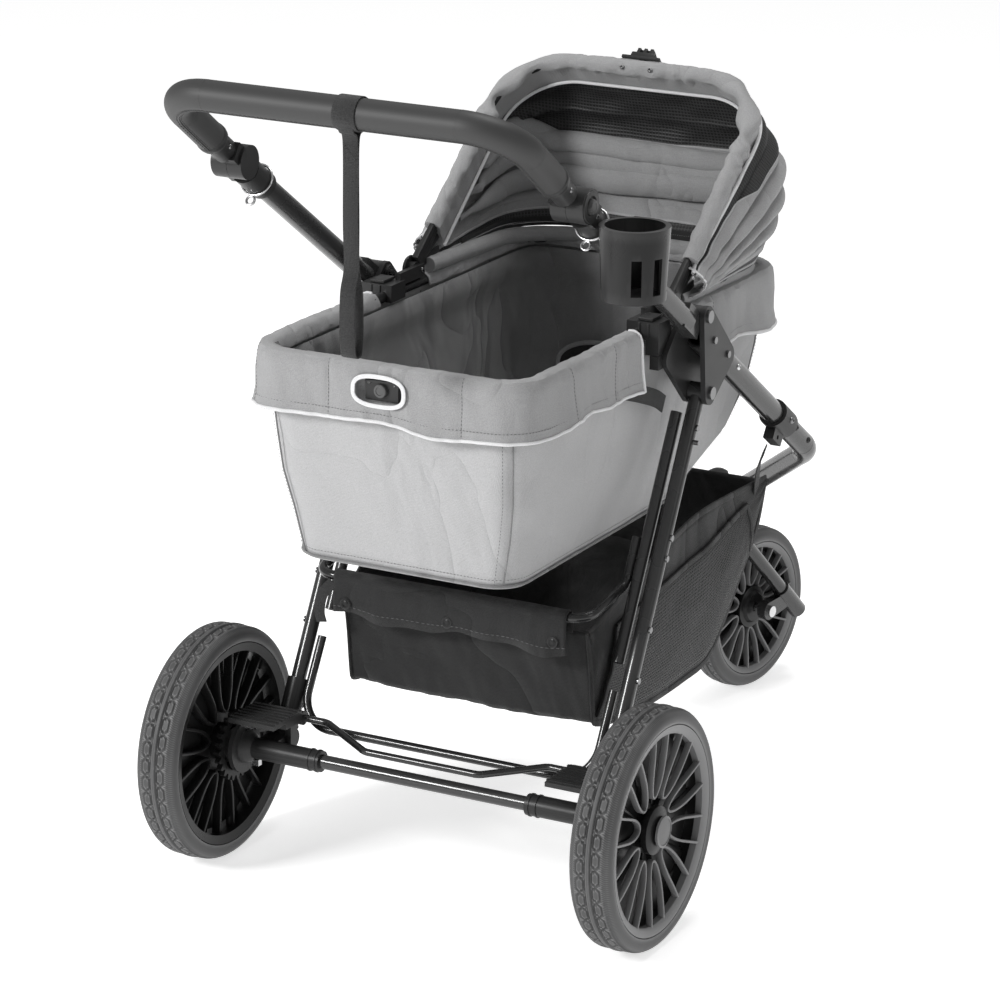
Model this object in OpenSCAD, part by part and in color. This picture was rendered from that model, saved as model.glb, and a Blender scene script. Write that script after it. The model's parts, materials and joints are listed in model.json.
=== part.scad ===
// Three-wheeled pet stroller: a folding tube frame with a lift-off carrier, a hood and a basket.
// X points right, Y the way it travels and Z up. Distances "ahead" are measured from the rear axle.

/* [Wheels] */
// Radius of a rear wheel
rear_wheel_r = 150; // [125:1:180]
// Radius of the front wheel
front_wheel_r = 116; // [97:1:140]
// Width of a rear tyre
rear_tyre_w = 58; // [48:1:70]
// Width of the front tyre
front_tyre_w = 48; // [38:1:58]
// Depth of a tyre outside its rim
tyre_depth = 20; // [16:1:24]
// Width of the rim ring
rim_ring = 12; // [9:1:15]
// Radius of a wheel hub
hub_r = 22; // [18:1:27]
// Number of spokes in a wheel
spokes = 20; // [12:1:24]
// Gap between a side tube's centre line and the rear tyre beside it
wheel_gap = 46; // [44:1:56]
// Distance of the fork's swivel axis ahead of the rear axle
swivel_reach = 837; // [820:1:1004]
// Distance from the swivel axis to the front axle
fork_trail = 75; // [62:1:90]
// Angle of the fork at rest, clockwise from straight ahead
fork_angle = 10.5; // [0:0.5:20]

/* [Frame] */
// Distance between the side tubes, centre to centre
frame_w = 450; // [375:1:540]
// Radius of a push tube
push_tube_r = 14; // [11.5:0.5:14]
// Radius of a front tube
front_tube_r = 15; // [12.5:0.5:15]
// Slope of the push and front tubes, in degrees below level
tube_slope = 34; // [28:0.5:38]
// Main joint's distance ahead of the rear axle
joint_reach = 262; // [240:1:290]
// Height of the main joint
joint_height = 697; // [660:1:740]
// Length from the main joint back to the handle hinge
push_length = 392; // [340:1:470]
// Length from the main joint forward to the bend
front_length = 440; // [400:1:470]
// Radius of the bend in a front tube
front_bend_r = 60; // [50:1:75]
// Radius of the main hinge pins and leg pins
pin_r = 4; // [3:0.5:5]
// Radial clearance of a running fit
running_gap = 0.05; // [0.02:0.01:0.08]
// Side clearance between moving plates
side_gap = 0.4; // [0.3:0.05:0.6]
// Wall of a frame tube
tube_wall = 1.8; // [1.5:0.1:2.5]

/* [Rear legs] */
// Radius of a leg's outer tube
leg_r = 9.5; // [8:0.5:9.5]
// Radius of a leg's inner tube
inner_tube_r = 7.5; // [6:0.5:8]
// Radius of the rear axle tube
axle_r = 9; // [7.5:0.5:10]
// Radius of a stub axle
stub_r = 6; // [5:0.5:7]
// Radius of the lower crossbar
crossbar_r = 5.5; // [4.5:0.5:5.5]
// Radius of the basket bar
basket_bar_r = 6; // [5:0.5:6]

/* [Handle] */
// Reach of the handle from its hinge to the crossbar
handle_reach = 193; // [165:1:230]
// Radius of the handle tube
bar_r = 11; // [9:0.5:12]
// Radius over the grip
grip_r = 18.5; // [15.5:0.5:20]
// Radius of the handle's two bends
bar_bend_r = 60; // [50:1:72]
// Radius of an angle hinge's discs
disc_r = 21; // [19:0.5:23]
// Width of the strap's webbing
strap_w = 20; // [16:1:24]
// Length of the strap below the grip
strap_drop = 282; // [235:1:338]

/* [Carrier] */
// Gap between a side tube's centre line and the carrier's side
carrier_gap = 41; // [41:1:50]
// Length of the carrier at the rim
carrier_length = 704; // [660:1:720]
// Depth of the carrier below the rim
carrier_depth = 259; // [216:1:262]
// Thickness of the carrier's padded wall
carrier_wall = 5; // [4:0.5:7]
// Depth of the folded collar
collar_depth = 72; // [60:1:80]
// Radius of the rim frame's tube
rim_tube_r = 7; // [5.5:0.5:8]

/* [Hood] */
// Radius from the hood's pivot to the top of its leading bow
hood_r = 358; // [320:1:380]
// Angle of the leading bow above level
hood_angle = 40.3; // [34:0.1:60]
// Radius of the bow's tube
bow_r = 4.5; // [3.5:0.5:5]

/* [Basket] */
// Gap between a side tube's centre line and the basket's side
basket_gap = 43; // [41:1:52]
// Thickness of the basket's fabric walls
basket_wall = 4; // [3:0.5:5]

/* [Cup holder] */
// Inside radius of the cup holder
cup_r = 35; // [30:0.5:42]
// Height of the cup holder
cup_height = 86; // [72:1:103]

/* [Hidden] */
$fn = 64;

metal = "dimgray";
plastic = [0.16, 0.16, 0.17];
rubber = [0.3, 0.3, 0.3];
grey_cloth = "silver";
black_cloth = [0.12, 0.12, 0.13];
steel = "lightgray";

// Radial gap of a tube seated in a sleeve
fit_gap = 0.1;

// Bead left by the bending dies where a bend meets a straight run
bead_l = 1.2;
bead_h = 0.12;

// Main joint and tube line
tube_x = frame_w / 2;
joint = [0, joint_reach, joint_height];
tube_dir = [0, cos(tube_slope), -sin(tube_slope)];
tube_up = [0, sin(tube_slope), cos(tube_slope)];
knuckle_r = 13;
pivot_up = 18;
cheek_in = 10.4;
cheek_out = 17;
sleeve_start = 20;
sleeve_end = 100;
sleeve_r = front_tube_r + 2;
tongue_hw = cheek_in - side_gap;
leg_pin = [65, -58];
lug = [-12, -46];
clamp_at = 322;
clamp_length = 44;

// Point on a side tube's line: s along it from the main joint, n above it
function tube_point(s, n = 0) = joint + s * tube_dir + n * tube_up;

main_pivot = tube_point(0, pivot_up);
handle_hinge = tube_point(-push_length);
leg_top = tube_point(leg_pin[0], leg_pin[1]);
bend_point = tube_point(front_length);

// Rear legs run from their pins to a foot just ahead of the axle
axle = [0, 0, rear_wheel_r];
foot = axle + [0, 38, 0];
leg_length = norm(leg_top - foot);
leg_dir = (foot - leg_top) / leg_length;
leg_cap = 14;
foot_sleeve_r = leg_r + 4;
inner_x = tube_x - leg_r - inner_tube_r - 5;
inner_from = 30;
inner_to = leg_length - 175;

// Point down a leg from its pin, moved forward by f
function leg_point(d, f = 0) = leg_top + d * leg_dir + [0, f, 0];

// Rear wheel stack, outward from the middle plane
tyre_in = tube_x + wheel_gap;
tyre_out = tyre_in + rear_tyre_w;
wheel_x = (tyre_in + tyre_out) / 2;
flange_t = 5;
flange_x = tyre_in - 9 - flange_t;
flange_r = 34;
drum_in = tyre_in - 4;
drum_t = 8;
drum_r = 52;
drum_slots = 12;
pin_circle = 27;
slot_gap = 0.6;
brake_pin_r = 3;
brake_throw = 6;
sleeve_x = 145;
axle_sleeve_r = axle_r + 4.5;
axle_half = flange_x - 24;
release_x = flange_x - 16;

// Each pedal turns on a short rod in two lugs of its axle bracket
pedal_pivot = axle + [0, 30, 40];
pedal_lug_t = 8;
pedal_lug_x = [tube_x - 21, tube_x + 4];
pedal_in = tube_x - 36;
pedal_out = tube_x + 30;
pedal_back = -44;
pedal_t = 6;
pedal_rod_r = 4;
link_r = 4.5;
link_z = axle[2] + 28;

// Front fork and wheel, in the fork's own frame: swivel axis at the origin, wheel ahead
crown_bottom = 2 * front_wheel_r + 12;
crown_t = 18;
head_bottom = crown_bottom + crown_t + 4;
head_height = 54;
head_r = 24;
stem_r = 8;
arm_r = 10;
arm_x = front_tyre_w / 2 + arm_r + 4;
arm_top = [-8, crown_bottom + crown_t / 2];
arm_foot = [fork_trail + 76, front_wheel_r - 18];
front_axle_r = 5;
dropout_in = front_tyre_w / 2 + 6;
dropout_t = 13;

// The grip's back and the front tyre set the ends of the object; the origin is midway
strap_t = 2.4;
grip_gap = 0.5;
grip_back = handle_hinge[1] - handle_reach * cos(tube_slope + 1.5);
grip_high = handle_hinge[2] + handle_reach * sin(tube_slope + 1.5);
shoulder_r = 14;
back_end = grip_back - grip_r - grip_gap - strap_t;
front_end = swivel_reach + (fork_trail + front_wheel_r - shoulder_r) * cos(fork_angle)
    + (front_tyre_w / 2 - shoulder_r) * sin(fork_angle) + shoulder_r;
middle = (back_end + front_end) / 2;

// Carrier levels: height, back, front, half width, corner radius
carrier_hw = tube_x - carrier_gap;
rim_height = joint_height;
carrier_back = -100;
shell_top = rim_height - rim_tube_r - 0.5;
shell_bottom = rim_height - carrier_depth;
rim_front = carrier_back + carrier_length;
levels = [
    [shell_bottom, carrier_back + 38, rim_front - 219, carrier_hw - 34, 40],
    [shell_bottom + 62, carrier_back + 30, rim_front - 74, carrier_hw - 19, 50],
    [shell_bottom + 162, carrier_back + 12, rim_front - 14, carrier_hw - 6, 60],
    [shell_top, carrier_back, rim_front, carrier_hw, 60]];
collar_top = rim_height + rim_tube_r + 2;
collar_gap = [190, 300];
clip_y = [204, 240];
lug_x = tube_x - cheek_out;
post_x = [lug_x - 9.5, lug_x - 2.5];

// Hood pivots stand on the rim frame
hood_pivot = [0, joint_reach + 28, collar_top + 9];
hood_pin_r = 3;
bow_x = carrier_hw - 4;
bow_corner = 90;
bow_eye_r = 9.5;
bow_eye_hw = 4;
hood_hw = bow_x + bow_r + 6.5;
hood_wall = 5;
hood_corner = 84;
// Angle and reach of the hood's sections, from the rim up to the leading bow
rim_reach = rim_front - hood_pivot[1] - 8;
hood_sections = [[2, rim_reach], [20, (rim_reach + hood_r) / 2 + 2], [hood_angle - 2.5, hood_r]];

// Basket side outline, back bottom first
basket_hw = tube_x - basket_gap;
basket_outline = [[82, 228], [250, 208], [420, 212], [565, 350], [592, 415], [400, 420],
    [200, 385], [82, 345]];
basket_inside = [[82 + basket_wall, 228 + basket_wall], [250, 208 + basket_wall],
    [420 - basket_wall / 2, 212 + basket_wall], [565 - basket_wall, 351],
    [592 - basket_wall, 415], [592 - basket_wall, 440], [82 + basket_wall, 440]];

// Cup holder beside the right push tube
cup_wall = 2.5;
cup_center = [tube_x + 20 + cup_r + cup_wall + 4.5, handle_hinge[1] + 33];
cup_top = handle_hinge[2] - 23;
cup_floor = 4;
clamp_s = -push_length + 102;
clamp_w = 18;
tab_back = cup_center[1] + cup_r + 11;
tab_t = 6;
tab_w = 24;
arm_z = tube_point(clamp_s)[2] - 13;

// ---------- shared shapes ----------

// Puts a piece into the object's frame, whose origin is on the floor midway along its length
module placed() {
    translate([0, -middle, 0]) children();
}

// Straight round bar between two points
module rod(a, b, r) {
    d = b - a;
    translate(a)
        rotate([0, acos(d[2] / norm(d)), atan2(d[1], d[0])])
            cylinder(r = r, h = norm(d));
}

function unit(v) = v / norm(v);
function turn_at(p, i) = acos(unit(p[i] - p[i - 1]) * unit(p[i + 1] - p[i]));
function trim_at(p, i, bend) = (i == 0 || i == len(p) - 1) ? 0 : bend * tan(turn_at(p, i) / 2);

// One elbow of a bent tube, about corner i of path p
module elbow(p, i, bend, r) {
    u = unit(p[i] - p[i - 1]);
    v = unit(p[i + 1] - p[i]);
    angle = turn_at(p, i);
    start = p[i] - u * trim_at(p, i, bend);
    center = p[i] + unit(v - u) * bend / cos(angle / 2);
    e1 = unit(start - center);
    e3 = cross(e1, u);
    multmatrix([[e1[0], u[0], e3[0], center[0]], [e1[1], u[1], e3[1], center[1]],
                [e1[2], u[2], e3[2], center[2]], [0, 0, 0, 1]])
        rotate_extrude(angle = angle)
            translate([bend, 0]) circle(r);
}

// Bent round tube through the points of p, with one bend radius and a faint bead at each tangent
module bent_tube(p, bend, r) {
    for (i = [0 : len(p) - 2]) {
        u = unit(p[i + 1] - p[i]);
        a = p[i] + u * trim_at(p, i, bend);
        b = p[i + 1] - u * trim_at(p, i + 1, bend);
        rod(a, b, r);
        if (i > 0) rod(a - u * bead_l / 2, a + u * bead_l / 2, r + bead_h);
        if (i < len(p) - 2) rod(b - u * bead_l / 2, b + u * bead_l / 2, r + bead_h);
    }
    for (i = [1 : len(p) - 2]) elbow(p, i, bend, r);
}

// Hollow bent tube, open at both ends
module pipe(p, bend, r) {
    difference() {
        bent_tube(p, bend, r);
        bent_tube(p, bend, r - tube_wall);
    }
}

// Hollow straight tube between two points
module straight_pipe(a, b, r) {
    difference() {
        rod(a, b, r);
        rod(a - unit(b - a), b + unit(b - a), r - tube_wall);
    }
}

// Cylinder along X from x0 to x1 at height z and distance y
module x_bar(x0, x1, r, y = 0, z = 0) {
    translate([min(x0, x1), y, z]) rotate([0, 90, 0]) cylinder(r = r, h = abs(x1 - x0));
}

// Box between two corners
module box(a, b) {
    translate([min(a[0], b[0]), min(a[1], b[1]), min(a[2], b[2])])
        cube([abs(b[0] - a[0]), abs(b[1] - a[1]), abs(b[2] - a[2])]);
}

// Local frame on a side tube: y runs down along the tube from the main joint, z is above it
module on_tube(side) {
    placed() translate([side * tube_x, joint_reach, joint_height])
        rotate([-tube_slope, 0, 0]) scale_side(side) children();
}

// Mirrors a right-hand piece for the left side
module scale_side(side) {
    if (side < 0) mirror([1, 0, 0]) children();
    else children();
}

// Rounded flat slab: level, back, front, half width and corner radius as in levels
module slab(l, grow = 0, t = 0.5) {
    for (x = [-1, 1])
        for (y = [l[1] + l[4], l[2] - l[4]])
            translate([x * (l[3] - l[4]), y, l[0]]) cylinder(r = l[4] + grow, h = t, $fn = 32);
}

// ---------- front frame ----------

module front_tube(side) {
    path = [tube_point(sleeve_start + 2) + [side * tube_x, 0, 0],
            bend_point + [side * tube_x, 0, 0],
            [side * head_r / 2, swivel_reach - 4, head_bottom + head_height / 2]];
    color(metal) placed() difference() {
        pipe(path, front_bend_r, front_tube_r);
        translate([0, swivel_reach, 0]) cylinder(r = head_r + fit_gap, h = joint_height);
        box([0, 0, 0], [-side * frame_w, 2 * swivel_reach, joint_height]);
    }
}

// Side plate of the main joint; the inner plate also carries a lug for the carrier
module cheek(x0, x1, with_lug) {
    outline = [[0, pivot_up, knuckle_r], [34, 0, sleeve_r], [88, 0, 14],
               [leg_pin[0], leg_pin[1], 15]];
    hull() for (c = with_lug ? concat(outline, [[lug[0], lug[1], 14]]) : outline)
        x_bar(x0, x1, c[2], c[0], c[1]);
}

module hinge_bracket(side) {
    color(plastic) on_tube(side) difference() {
        union() {
            cheek(cheek_in, cheek_out, false);
            cheek(-cheek_out, -cheek_in, true);
            translate([0, sleeve_start, 0]) rotate([-90, 0, 0])
                cylinder(r = sleeve_r, h = sleeve_end - sleeve_start);
        }
        translate([0, sleeve_start - 1, 0]) rotate([-90, 0, 0])
            cylinder(r = front_tube_r + fit_gap, h = 2 * sleeve_end);
        x_bar(-cheek_out - 1, cheek_out + 1, pin_r + running_gap, 0, pivot_up);
        x_bar(-cheek_out - 1, cheek_out + 1, pin_r + running_gap, leg_pin[0], leg_pin[1]);
    }
}

// Main hinge pin with its head outside and its inner end carrying the latch link
module joint_pins(side) {
    on_tube(side) {
        x_bar(-cheek_out - 7, cheek_out + fit_gap, pin_r, 0, pivot_up);
        x_bar(cheek_out + fit_gap, cheek_out + 3.5, pin_r + 4, 0, pivot_up);
        x_bar(-cheek_out, cheek_out + fit_gap, pin_r, leg_pin[0], leg_pin[1]);
        x_bar(cheek_out + fit_gap, cheek_out + 3.5, pin_r + 4, leg_pin[0], leg_pin[1]);
        for (s = [34, 82]) x_bar(sleeve_r + fit_gap, sleeve_r + 2.6, 4.5, s, 0);
    }
}

module hinge_pins() {
    color(steel) for (side = [-1, 1]) joint_pins(side);
}

module fork_crown() {
    color(plastic) placed() translate([0, swivel_reach, head_bottom]) difference() {
        cylinder(r = head_r, h = head_height);
        translate([0, 0, -1]) cylinder(r = stem_r + running_gap, h = head_height + 2);
    }
}

// Plastic sleeve low on each front tube, with the lug the basket hangs from
module tube_clamp(side) {
    on_tube(side) difference() {
        union() {
            translate([0, clamp_at - clamp_length / 2, 0]) rotate([-90, 0, 0])
                cylinder(r = front_tube_r + 4, h = clamp_length);
            box([-7, clamp_at - 16, -front_tube_r - 18], [7, clamp_at + 14, -front_tube_r]);
        }
        translate([0, clamp_at - clamp_length, 0]) rotate([-90, 0, 0])
            cylinder(r = front_tube_r + fit_gap, h = 2 * clamp_length);
        x_bar(-20, 20, 3, clamp_at - 2, -front_tube_r - 11);
    }
}

module tube_clamps() {
    color(plastic) for (side = [-1, 1]) tube_clamp(side);
}

// Arm and post on the inner cheek that the carrier's clip drops over
module carrier_adapters() {
    color(plastic) placed() for (side = [-1, 1]) {
        box([side * (lug_x - 12), clip_y[0], rim_height - 42], [side * lug_x, clip_y[1], rim_height - 25]);
        box([side * post_x[0], clip_y[0] + 6, rim_height - 26],
            [side * post_x[1], clip_y[1] - 6, rim_height - 8]);
    }
}

// ---------- basket ----------

module basket() {
    color(black_cloth) placed() difference() {
        rotate([90, 0, 90]) translate([0, 0, -basket_hw])
            linear_extrude(2 * basket_hw) polygon(basket_outline);
        rotate([90, 0, 90]) translate([0, 0, -basket_hw + basket_wall])
            linear_extrude(2 * (basket_hw - basket_wall)) polygon(basket_inside);
    }
}

// ---------- push frame ----------

module push_tube(side) {
    color(metal) on_tube(side) difference() {
        union() {
            straight_pipe([0, -push_length + 34, 0], [0, -26, 0], push_tube_r);
            box([-tongue_hw, -44, -push_tube_r + 1], [tongue_hw, 0, pivot_up]);
            x_bar(-tongue_hw, tongue_hw, knuckle_r - 0.5, 0, pivot_up);
        }
        x_bar(-cheek_out, cheek_out, pin_r + running_gap, 0, pivot_up);
    }
}

// Fixed half of the handle's angle hinge, with its sleeve over the push tube
module hinge_housing(side) {
    color(plastic) on_tube(side) translate([0, -push_length, 0]) difference() {
        union() {
            x_bar(side_gap, 22, disc_r);
            box([side_gap, 0, -14], [18, 34, 14]);
            translate([0, 26, 0]) rotate([-90, 0, 0]) cylinder(r = push_tube_r + 4, h = 48);
        }
        translate([0, 33.9, 0]) rotate([-90, 0, 0]) cylinder(r = push_tube_r + fit_gap, h = 60);
        x_bar(12, 30, 9.3);
    }
}

// Steel wire ring and D loop round each hinge sleeve
module d_rings() {
    color(steel) for (side = [-1, 1])
        on_tube(side) translate([0, -push_length + 58, 0]) {
            rotate([90, 0, 0]) rotate_extrude() translate([push_tube_r + 6, 0]) circle(1.6);
            translate([0, 0, -push_tube_r - 13]) rotate([90, 0, 0]) rotate_extrude()
                translate([5.4, 0]) circle(1.6);
        }
}

// Clip round the right push tube with an arm and the upright tab that holds the cup
module cup_clamp() {
    y = tube_point(clamp_s)[1];
    color(plastic) difference() {
        union() {
            on_tube(1) translate([0, clamp_s - clamp_w / 2, 0]) rotate([-90, 0, 0])
                cylinder(r = push_tube_r + 4, h = clamp_w);
            placed() {
                box([tube_x + 8, y - 8, arm_z], [cup_center[0], y + 8, arm_z + 10]);
                box([cup_center[0] - tab_w, tab_back, arm_z],
                    [cup_center[0], tab_back + tab_t, arm_z + 39]);
            }
        }
        on_tube(1) translate([0, clamp_s - 40, 0]) rotate([-90, 0, 0])
            cylinder(r = push_tube_r + fit_gap, h = 80);
    }
}

// Slotted cup with a socket on its front that slides down over the tab
module cup_holder() {
    socket_z = arm_z + 13 - cup_top + cup_height;
    color(plastic) placed() translate([cup_center[0], cup_center[1], cup_top - cup_height])
        difference() {
            union() {
                cylinder(r1 = cup_r + cup_wall, r2 = cup_r + cup_wall + 4, h = cup_height, $fn = 96);
                translate([-tab_w - 4, cup_r - 4, socket_z])
                    cube([tab_w + 8, tab_back + tab_t - cup_center[1] - cup_r + 8, 30]);
            }
            translate([0, 0, cup_floor]) cylinder(r = cup_r, h = cup_height, $fn = 96);
            translate([-tab_w - side_gap, tab_back - side_gap - cup_center[1], socket_z - 1])
                cube([tab_w + 2 * side_gap, tab_t + 2 * side_gap, 28]);
            for (a = [-150, -60, -20, 25])
                rotate([0, 0, a]) translate([cup_r - 4, -6, 10]) cube([14, 12, cup_height / 2]);
        }
}

// ---------- handle ----------

// Local frame of the handle: y runs out from the angle hinges towards the crossbar, z up
module on_handle() {
    placed() translate(handle_hinge) rotate([-tube_slope - 1.5, 0, 0]) mirror([0, 1, 0]) children();
}

handle_path = [[-tube_x, 26, 0], [-tube_x, handle_reach, 0], [tube_x, handle_reach, 0],
               [tube_x, 26, 0]];
grip_path = [[-tube_x, 58, 0], handle_path[1], handle_path[2], [tube_x, 58, 0]];

module handle_bar() {
    color(metal) on_handle() pipe(handle_path, bar_bend_r, bar_r);
}

module handle_grip() {
    color(plastic) on_handle() difference() {
        bent_tube(grip_path, bar_bend_r, grip_r);
        bent_tube(handle_path, bar_bend_r, bar_r + fit_gap);
    }
}

// Moving half of the angle hinge, inboard of the fixed half
module handle_hub(side) {
    color(plastic) on_handle() translate([side * tube_x, 0, 0]) scale_side(side) difference() {
        union() {
            x_bar(-20, 0, disc_r);
            box([-17, 0, -12], [0, 30, 12]);
            translate([0, 27, 0]) rotate([-90, 0, 0]) cylinder(r = bar_r + 4, h = 30.5);
        }
        translate([0, 25.9, 0]) rotate([-90, 0, 0]) cylinder(r = bar_r + fit_gap, h = 40);
    }
}

// Push button in the outer face of each angle hinge
module hinge_button(side) {
    color(plastic) on_tube(side) translate([0, -push_length, 0]) {
        x_bar(16, 25, 9);
        x_bar(25, 27, 8);
    }
}

// Webbing loop: a stitched ring round the grip, a band and the hand loop hanging from it
module wrist_strap() {
    ring_out = grip_r + grip_gap + strap_t;
    loop_r = 8 + strap_t;
    loop_top = -strap_drop + 100;
    color(black_cloth) placed() translate([25, grip_back, grip_high]) {
        difference() {
            union() {
                x_bar(-strap_w * 0.75, strap_w * 0.75, ring_out);
                box([-strap_w / 2, -strap_t, loop_top], [strap_w / 2, strap_t, -grip_r]);
            }
            x_bar(-strap_w, strap_w, grip_r + grip_gap);
        }
        translate([-strap_w / 2, 0, 0]) difference() {
            union() {
                box([0, -loop_r, -strap_drop + loop_r], [strap_w, loop_r, loop_top]);
                x_bar(0, strap_w, loop_r, 0, -strap_drop + loop_r);
            }
            box([-1, -8, -strap_drop + loop_r], [strap_w + 1, 8, loop_top - strap_t]);
            x_bar(-1, strap_w + 1, 8, 0, -strap_drop + loop_r);
        }
    }
}

// ---------- latch links ----------

// Slotted flat link on the inner end of each main hinge pin
module latch_links() {
    reach = norm(leg_top - main_pivot);
    lean = atan2(leg_top[1] - main_pivot[1], main_pivot[2] - leg_top[2]);
    color(metal) placed() for (side = [-1, 1])
        translate(main_pivot) rotate([lean, 0, 0]) difference() {
            union() {
                for (z = [0, -reach + 4])
                    x_bar(side * (lug_x - side_gap), side * (lug_x - 4.6), 9, 0, z);
                box([side * (lug_x - side_gap), -9, -reach + 4], [side * (lug_x - 4.6), 9, 0]);
            }
            x_bar(-tube_x, tube_x, pin_r + running_gap);
            for (z = [-reach + 16, -reach + 44]) x_bar(-tube_x, tube_x, 3.5, 0, z);
            box([-tube_x, -3.5, -reach + 16], [tube_x, 3.5, -reach + 44]);
        }
}

// ---------- rear frame ----------

module rear_leg(side) {
    color(metal) placed() {
        difference() {
            union() {
                straight_pipe(leg_point(6) + [side * tube_x, 0, 0],
                    leg_point(leg_length - leg_cap) + [side * tube_x, 0, 0], leg_r);
                x_bar(side * (tube_x - tongue_hw), side * (tube_x + tongue_hw), leg_r + 2,
                      leg_top[1], leg_top[2]);
            }
            x_bar(-tube_x - 20, tube_x + 20, pin_r + running_gap, leg_top[1], leg_top[2]);
        }
        straight_pipe(leg_point(inner_from) + [side * inner_x, 0, 0],
            leg_point(inner_to) + [side * inner_x, 0, 0], inner_tube_r);
    }
}

// U tube low between the legs
module lower_crossbar() {
    x = tube_x - foot_sleeve_r - crossbar_r - 0.3;
    top = leg_point(leg_length - 140);
    low = leg_point(leg_length - 26, -3);
    color(metal) placed() pipe([[-x, top[1], top[2]], [-x, low[1], low[2]],
        [x, low[1], low[2]], [x, top[1], top[2]]], 44, crossbar_r);
}

// U tube behind the legs that the back of the basket hangs on
module basket_bar() {
    x = inner_x - inner_tube_r - basket_bar_r - 0.3;
    top = leg_point(leg_length - 332);
    bend = leg_point(leg_length - 272);
    color(metal) placed() pipe([[-x, top[1], top[2]], [-x, bend[1], bend[2]],
        [-x, 60, bend[2] - 16], [x, 60, bend[2] - 16], [x, bend[1], bend[2]],
        [x, top[1], top[2]]], 26, basket_bar_r);
}

module rear_axle() {
    color(metal) placed() straight_pipe(axle - [axle_half, 0, 0], axle + [axle_half, 0, 0], axle_r);
}

module stub_axles() {
    color(steel) placed() for (side = [-1, 1])
        x_bar(side * (axle_half + fit_gap), side * (tyre_out - 8), stub_r, 0, axle[2]);
}

// Plastic foot of a leg: sleeves for the leg and the axle, pedal lugs and the wheel's back plate
module axle_bracket(side) {
    color(plastic) placed() scale_side(side) difference() {
        union() {
            rod(leg_point(leg_length - 82) + [tube_x, 0, 0],
                leg_point(leg_length - 6) + [tube_x, 0, 0], foot_sleeve_r);
            x_bar(sleeve_x, flange_x, axle_sleeve_r, 0, axle[2]);
            x_bar(flange_x - 1, flange_x + flange_t, flange_r, 0, axle[2]);
            hull() {
                x_bar(tube_x - 13, tube_x + 13, axle_sleeve_r - 1, 0, axle[2]);
                x_bar(tube_x - 13, tube_x + 13, axle_sleeve_r - 1, foot[1] + 6, foot[2] + 4);
            }
            for (x = pedal_lug_x) {
                x_bar(x, x + pedal_lug_t, pedal_rod_r + 4, pedal_pivot[1], pedal_pivot[2]);
                box([x, pedal_pivot[1] - pedal_rod_r - 4, axle[2]],
                    [x + pedal_lug_t, pedal_pivot[1] + pedal_rod_r + 4, pedal_pivot[2]]);
            }
        }
        x_bar(tube_x - 40, tube_x + 40, pedal_rod_r + running_gap, pedal_pivot[1], pedal_pivot[2]);
        rod(leg_point(leg_length - 90) + [tube_x, 0, 0],
            leg_point(leg_length - leg_cap) + [tube_x, 0, 0], leg_r + fit_gap);
        x_bar(sleeve_x - 1, axle_half, axle_r + 0.05, 0, axle[2]);
        x_bar(axle_half - 1, flange_x + 20, stub_r + 0.05, 0, axle[2]);
        x_bar(flange_x - 30, flange_x + 20, brake_pin_r + running_gap, 0, axle[2] + pin_circle);
        box([release_x - 6, -5, 0], [release_x + 6, 5, axle[2] - axle_r - 1.5]);
    }
}

// Rivet heads down the outer face of each leg, and a sprung pin with its eyelet
module leg_rivets() {
    color(steel) placed() for (side = [-1, 1]) {
        for (d = [46, 186, 212, 302, 366])
            x_bar(side * (tube_x + leg_r), side * (tube_x + leg_r + 2), 4,
                  leg_point(d)[1], leg_point(d)[2]);
        x_bar(side * (tube_x + leg_r), side * (tube_x + leg_r + 7), 3,
              leg_point(64)[1], leg_point(64)[2]);
    }
}

// Spring tab under each axle sleeve that frees the wheel
module wheel_release(side) {
    color(steel) placed() scale_side(side)
        box([release_x - 5, -4, axle[2] - axle_sleeve_r - 9],
            [release_x + 5, 4, axle[2] - axle_r - 5.5]);
}

// Ribbed foot plate on each side, turning about the pedal rod's line
module brake_pedal(side) {
    color(plastic) placed() scale_side(side) difference() {
        union() {
            box([pedal_in, pedal_back, pedal_pivot[2] + 6],
                [pedal_out, pedal_pivot[1] - 6, pedal_pivot[2] + 6 + pedal_t]);
            for (y = [pedal_back + 4 : 9 : pedal_pivot[1] - 14])
                box([pedal_in, y, pedal_pivot[2] + 5 + pedal_t],
                    [pedal_out, y + 4, pedal_pivot[2] + 8 + pedal_t]);
            for (x = [pedal_in, tube_x + 15])
                box([x, pedal_back + 30, pedal_pivot[2] - 2],
                    [x + 12, pedal_pivot[1] + 4, pedal_pivot[2] + 7]);
            x_bar(pedal_in, pedal_in + 12, 9, pedal_pivot[1], pedal_pivot[2]);
            x_bar(pedal_in + 11, tube_x + 26, pedal_rod_r, pedal_pivot[1], pedal_pivot[2]);
        }
        x_bar(pedal_in - 9, pedal_in + 6, link_r + fit_gap, pedal_pivot[1], pedal_pivot[2]);
    }
}

// Bent rod that joins the two pedals
module brake_link() {
    end_x = pedal_in + 6;
    color(metal) placed() bent_tube([[-end_x, pedal_pivot[1], pedal_pivot[2]],
        [-end_x + 40, pedal_pivot[1], pedal_pivot[2]], [-80, -8, link_z], [80, -8, link_z],
        [end_x - 40, pedal_pivot[1], pedal_pivot[2]], [end_x, pedal_pivot[1], pedal_pivot[2]]],
        22, link_r);
}

// Steel pin that drops into the wheel's slotted ring
module brake_pin(side) {
    color(steel) placed() scale_side(side)
        x_bar(flange_x - 14, drum_in - 1, brake_pin_r, 0, axle[2] + pin_circle);
}

// ---------- wheels ----------

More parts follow.
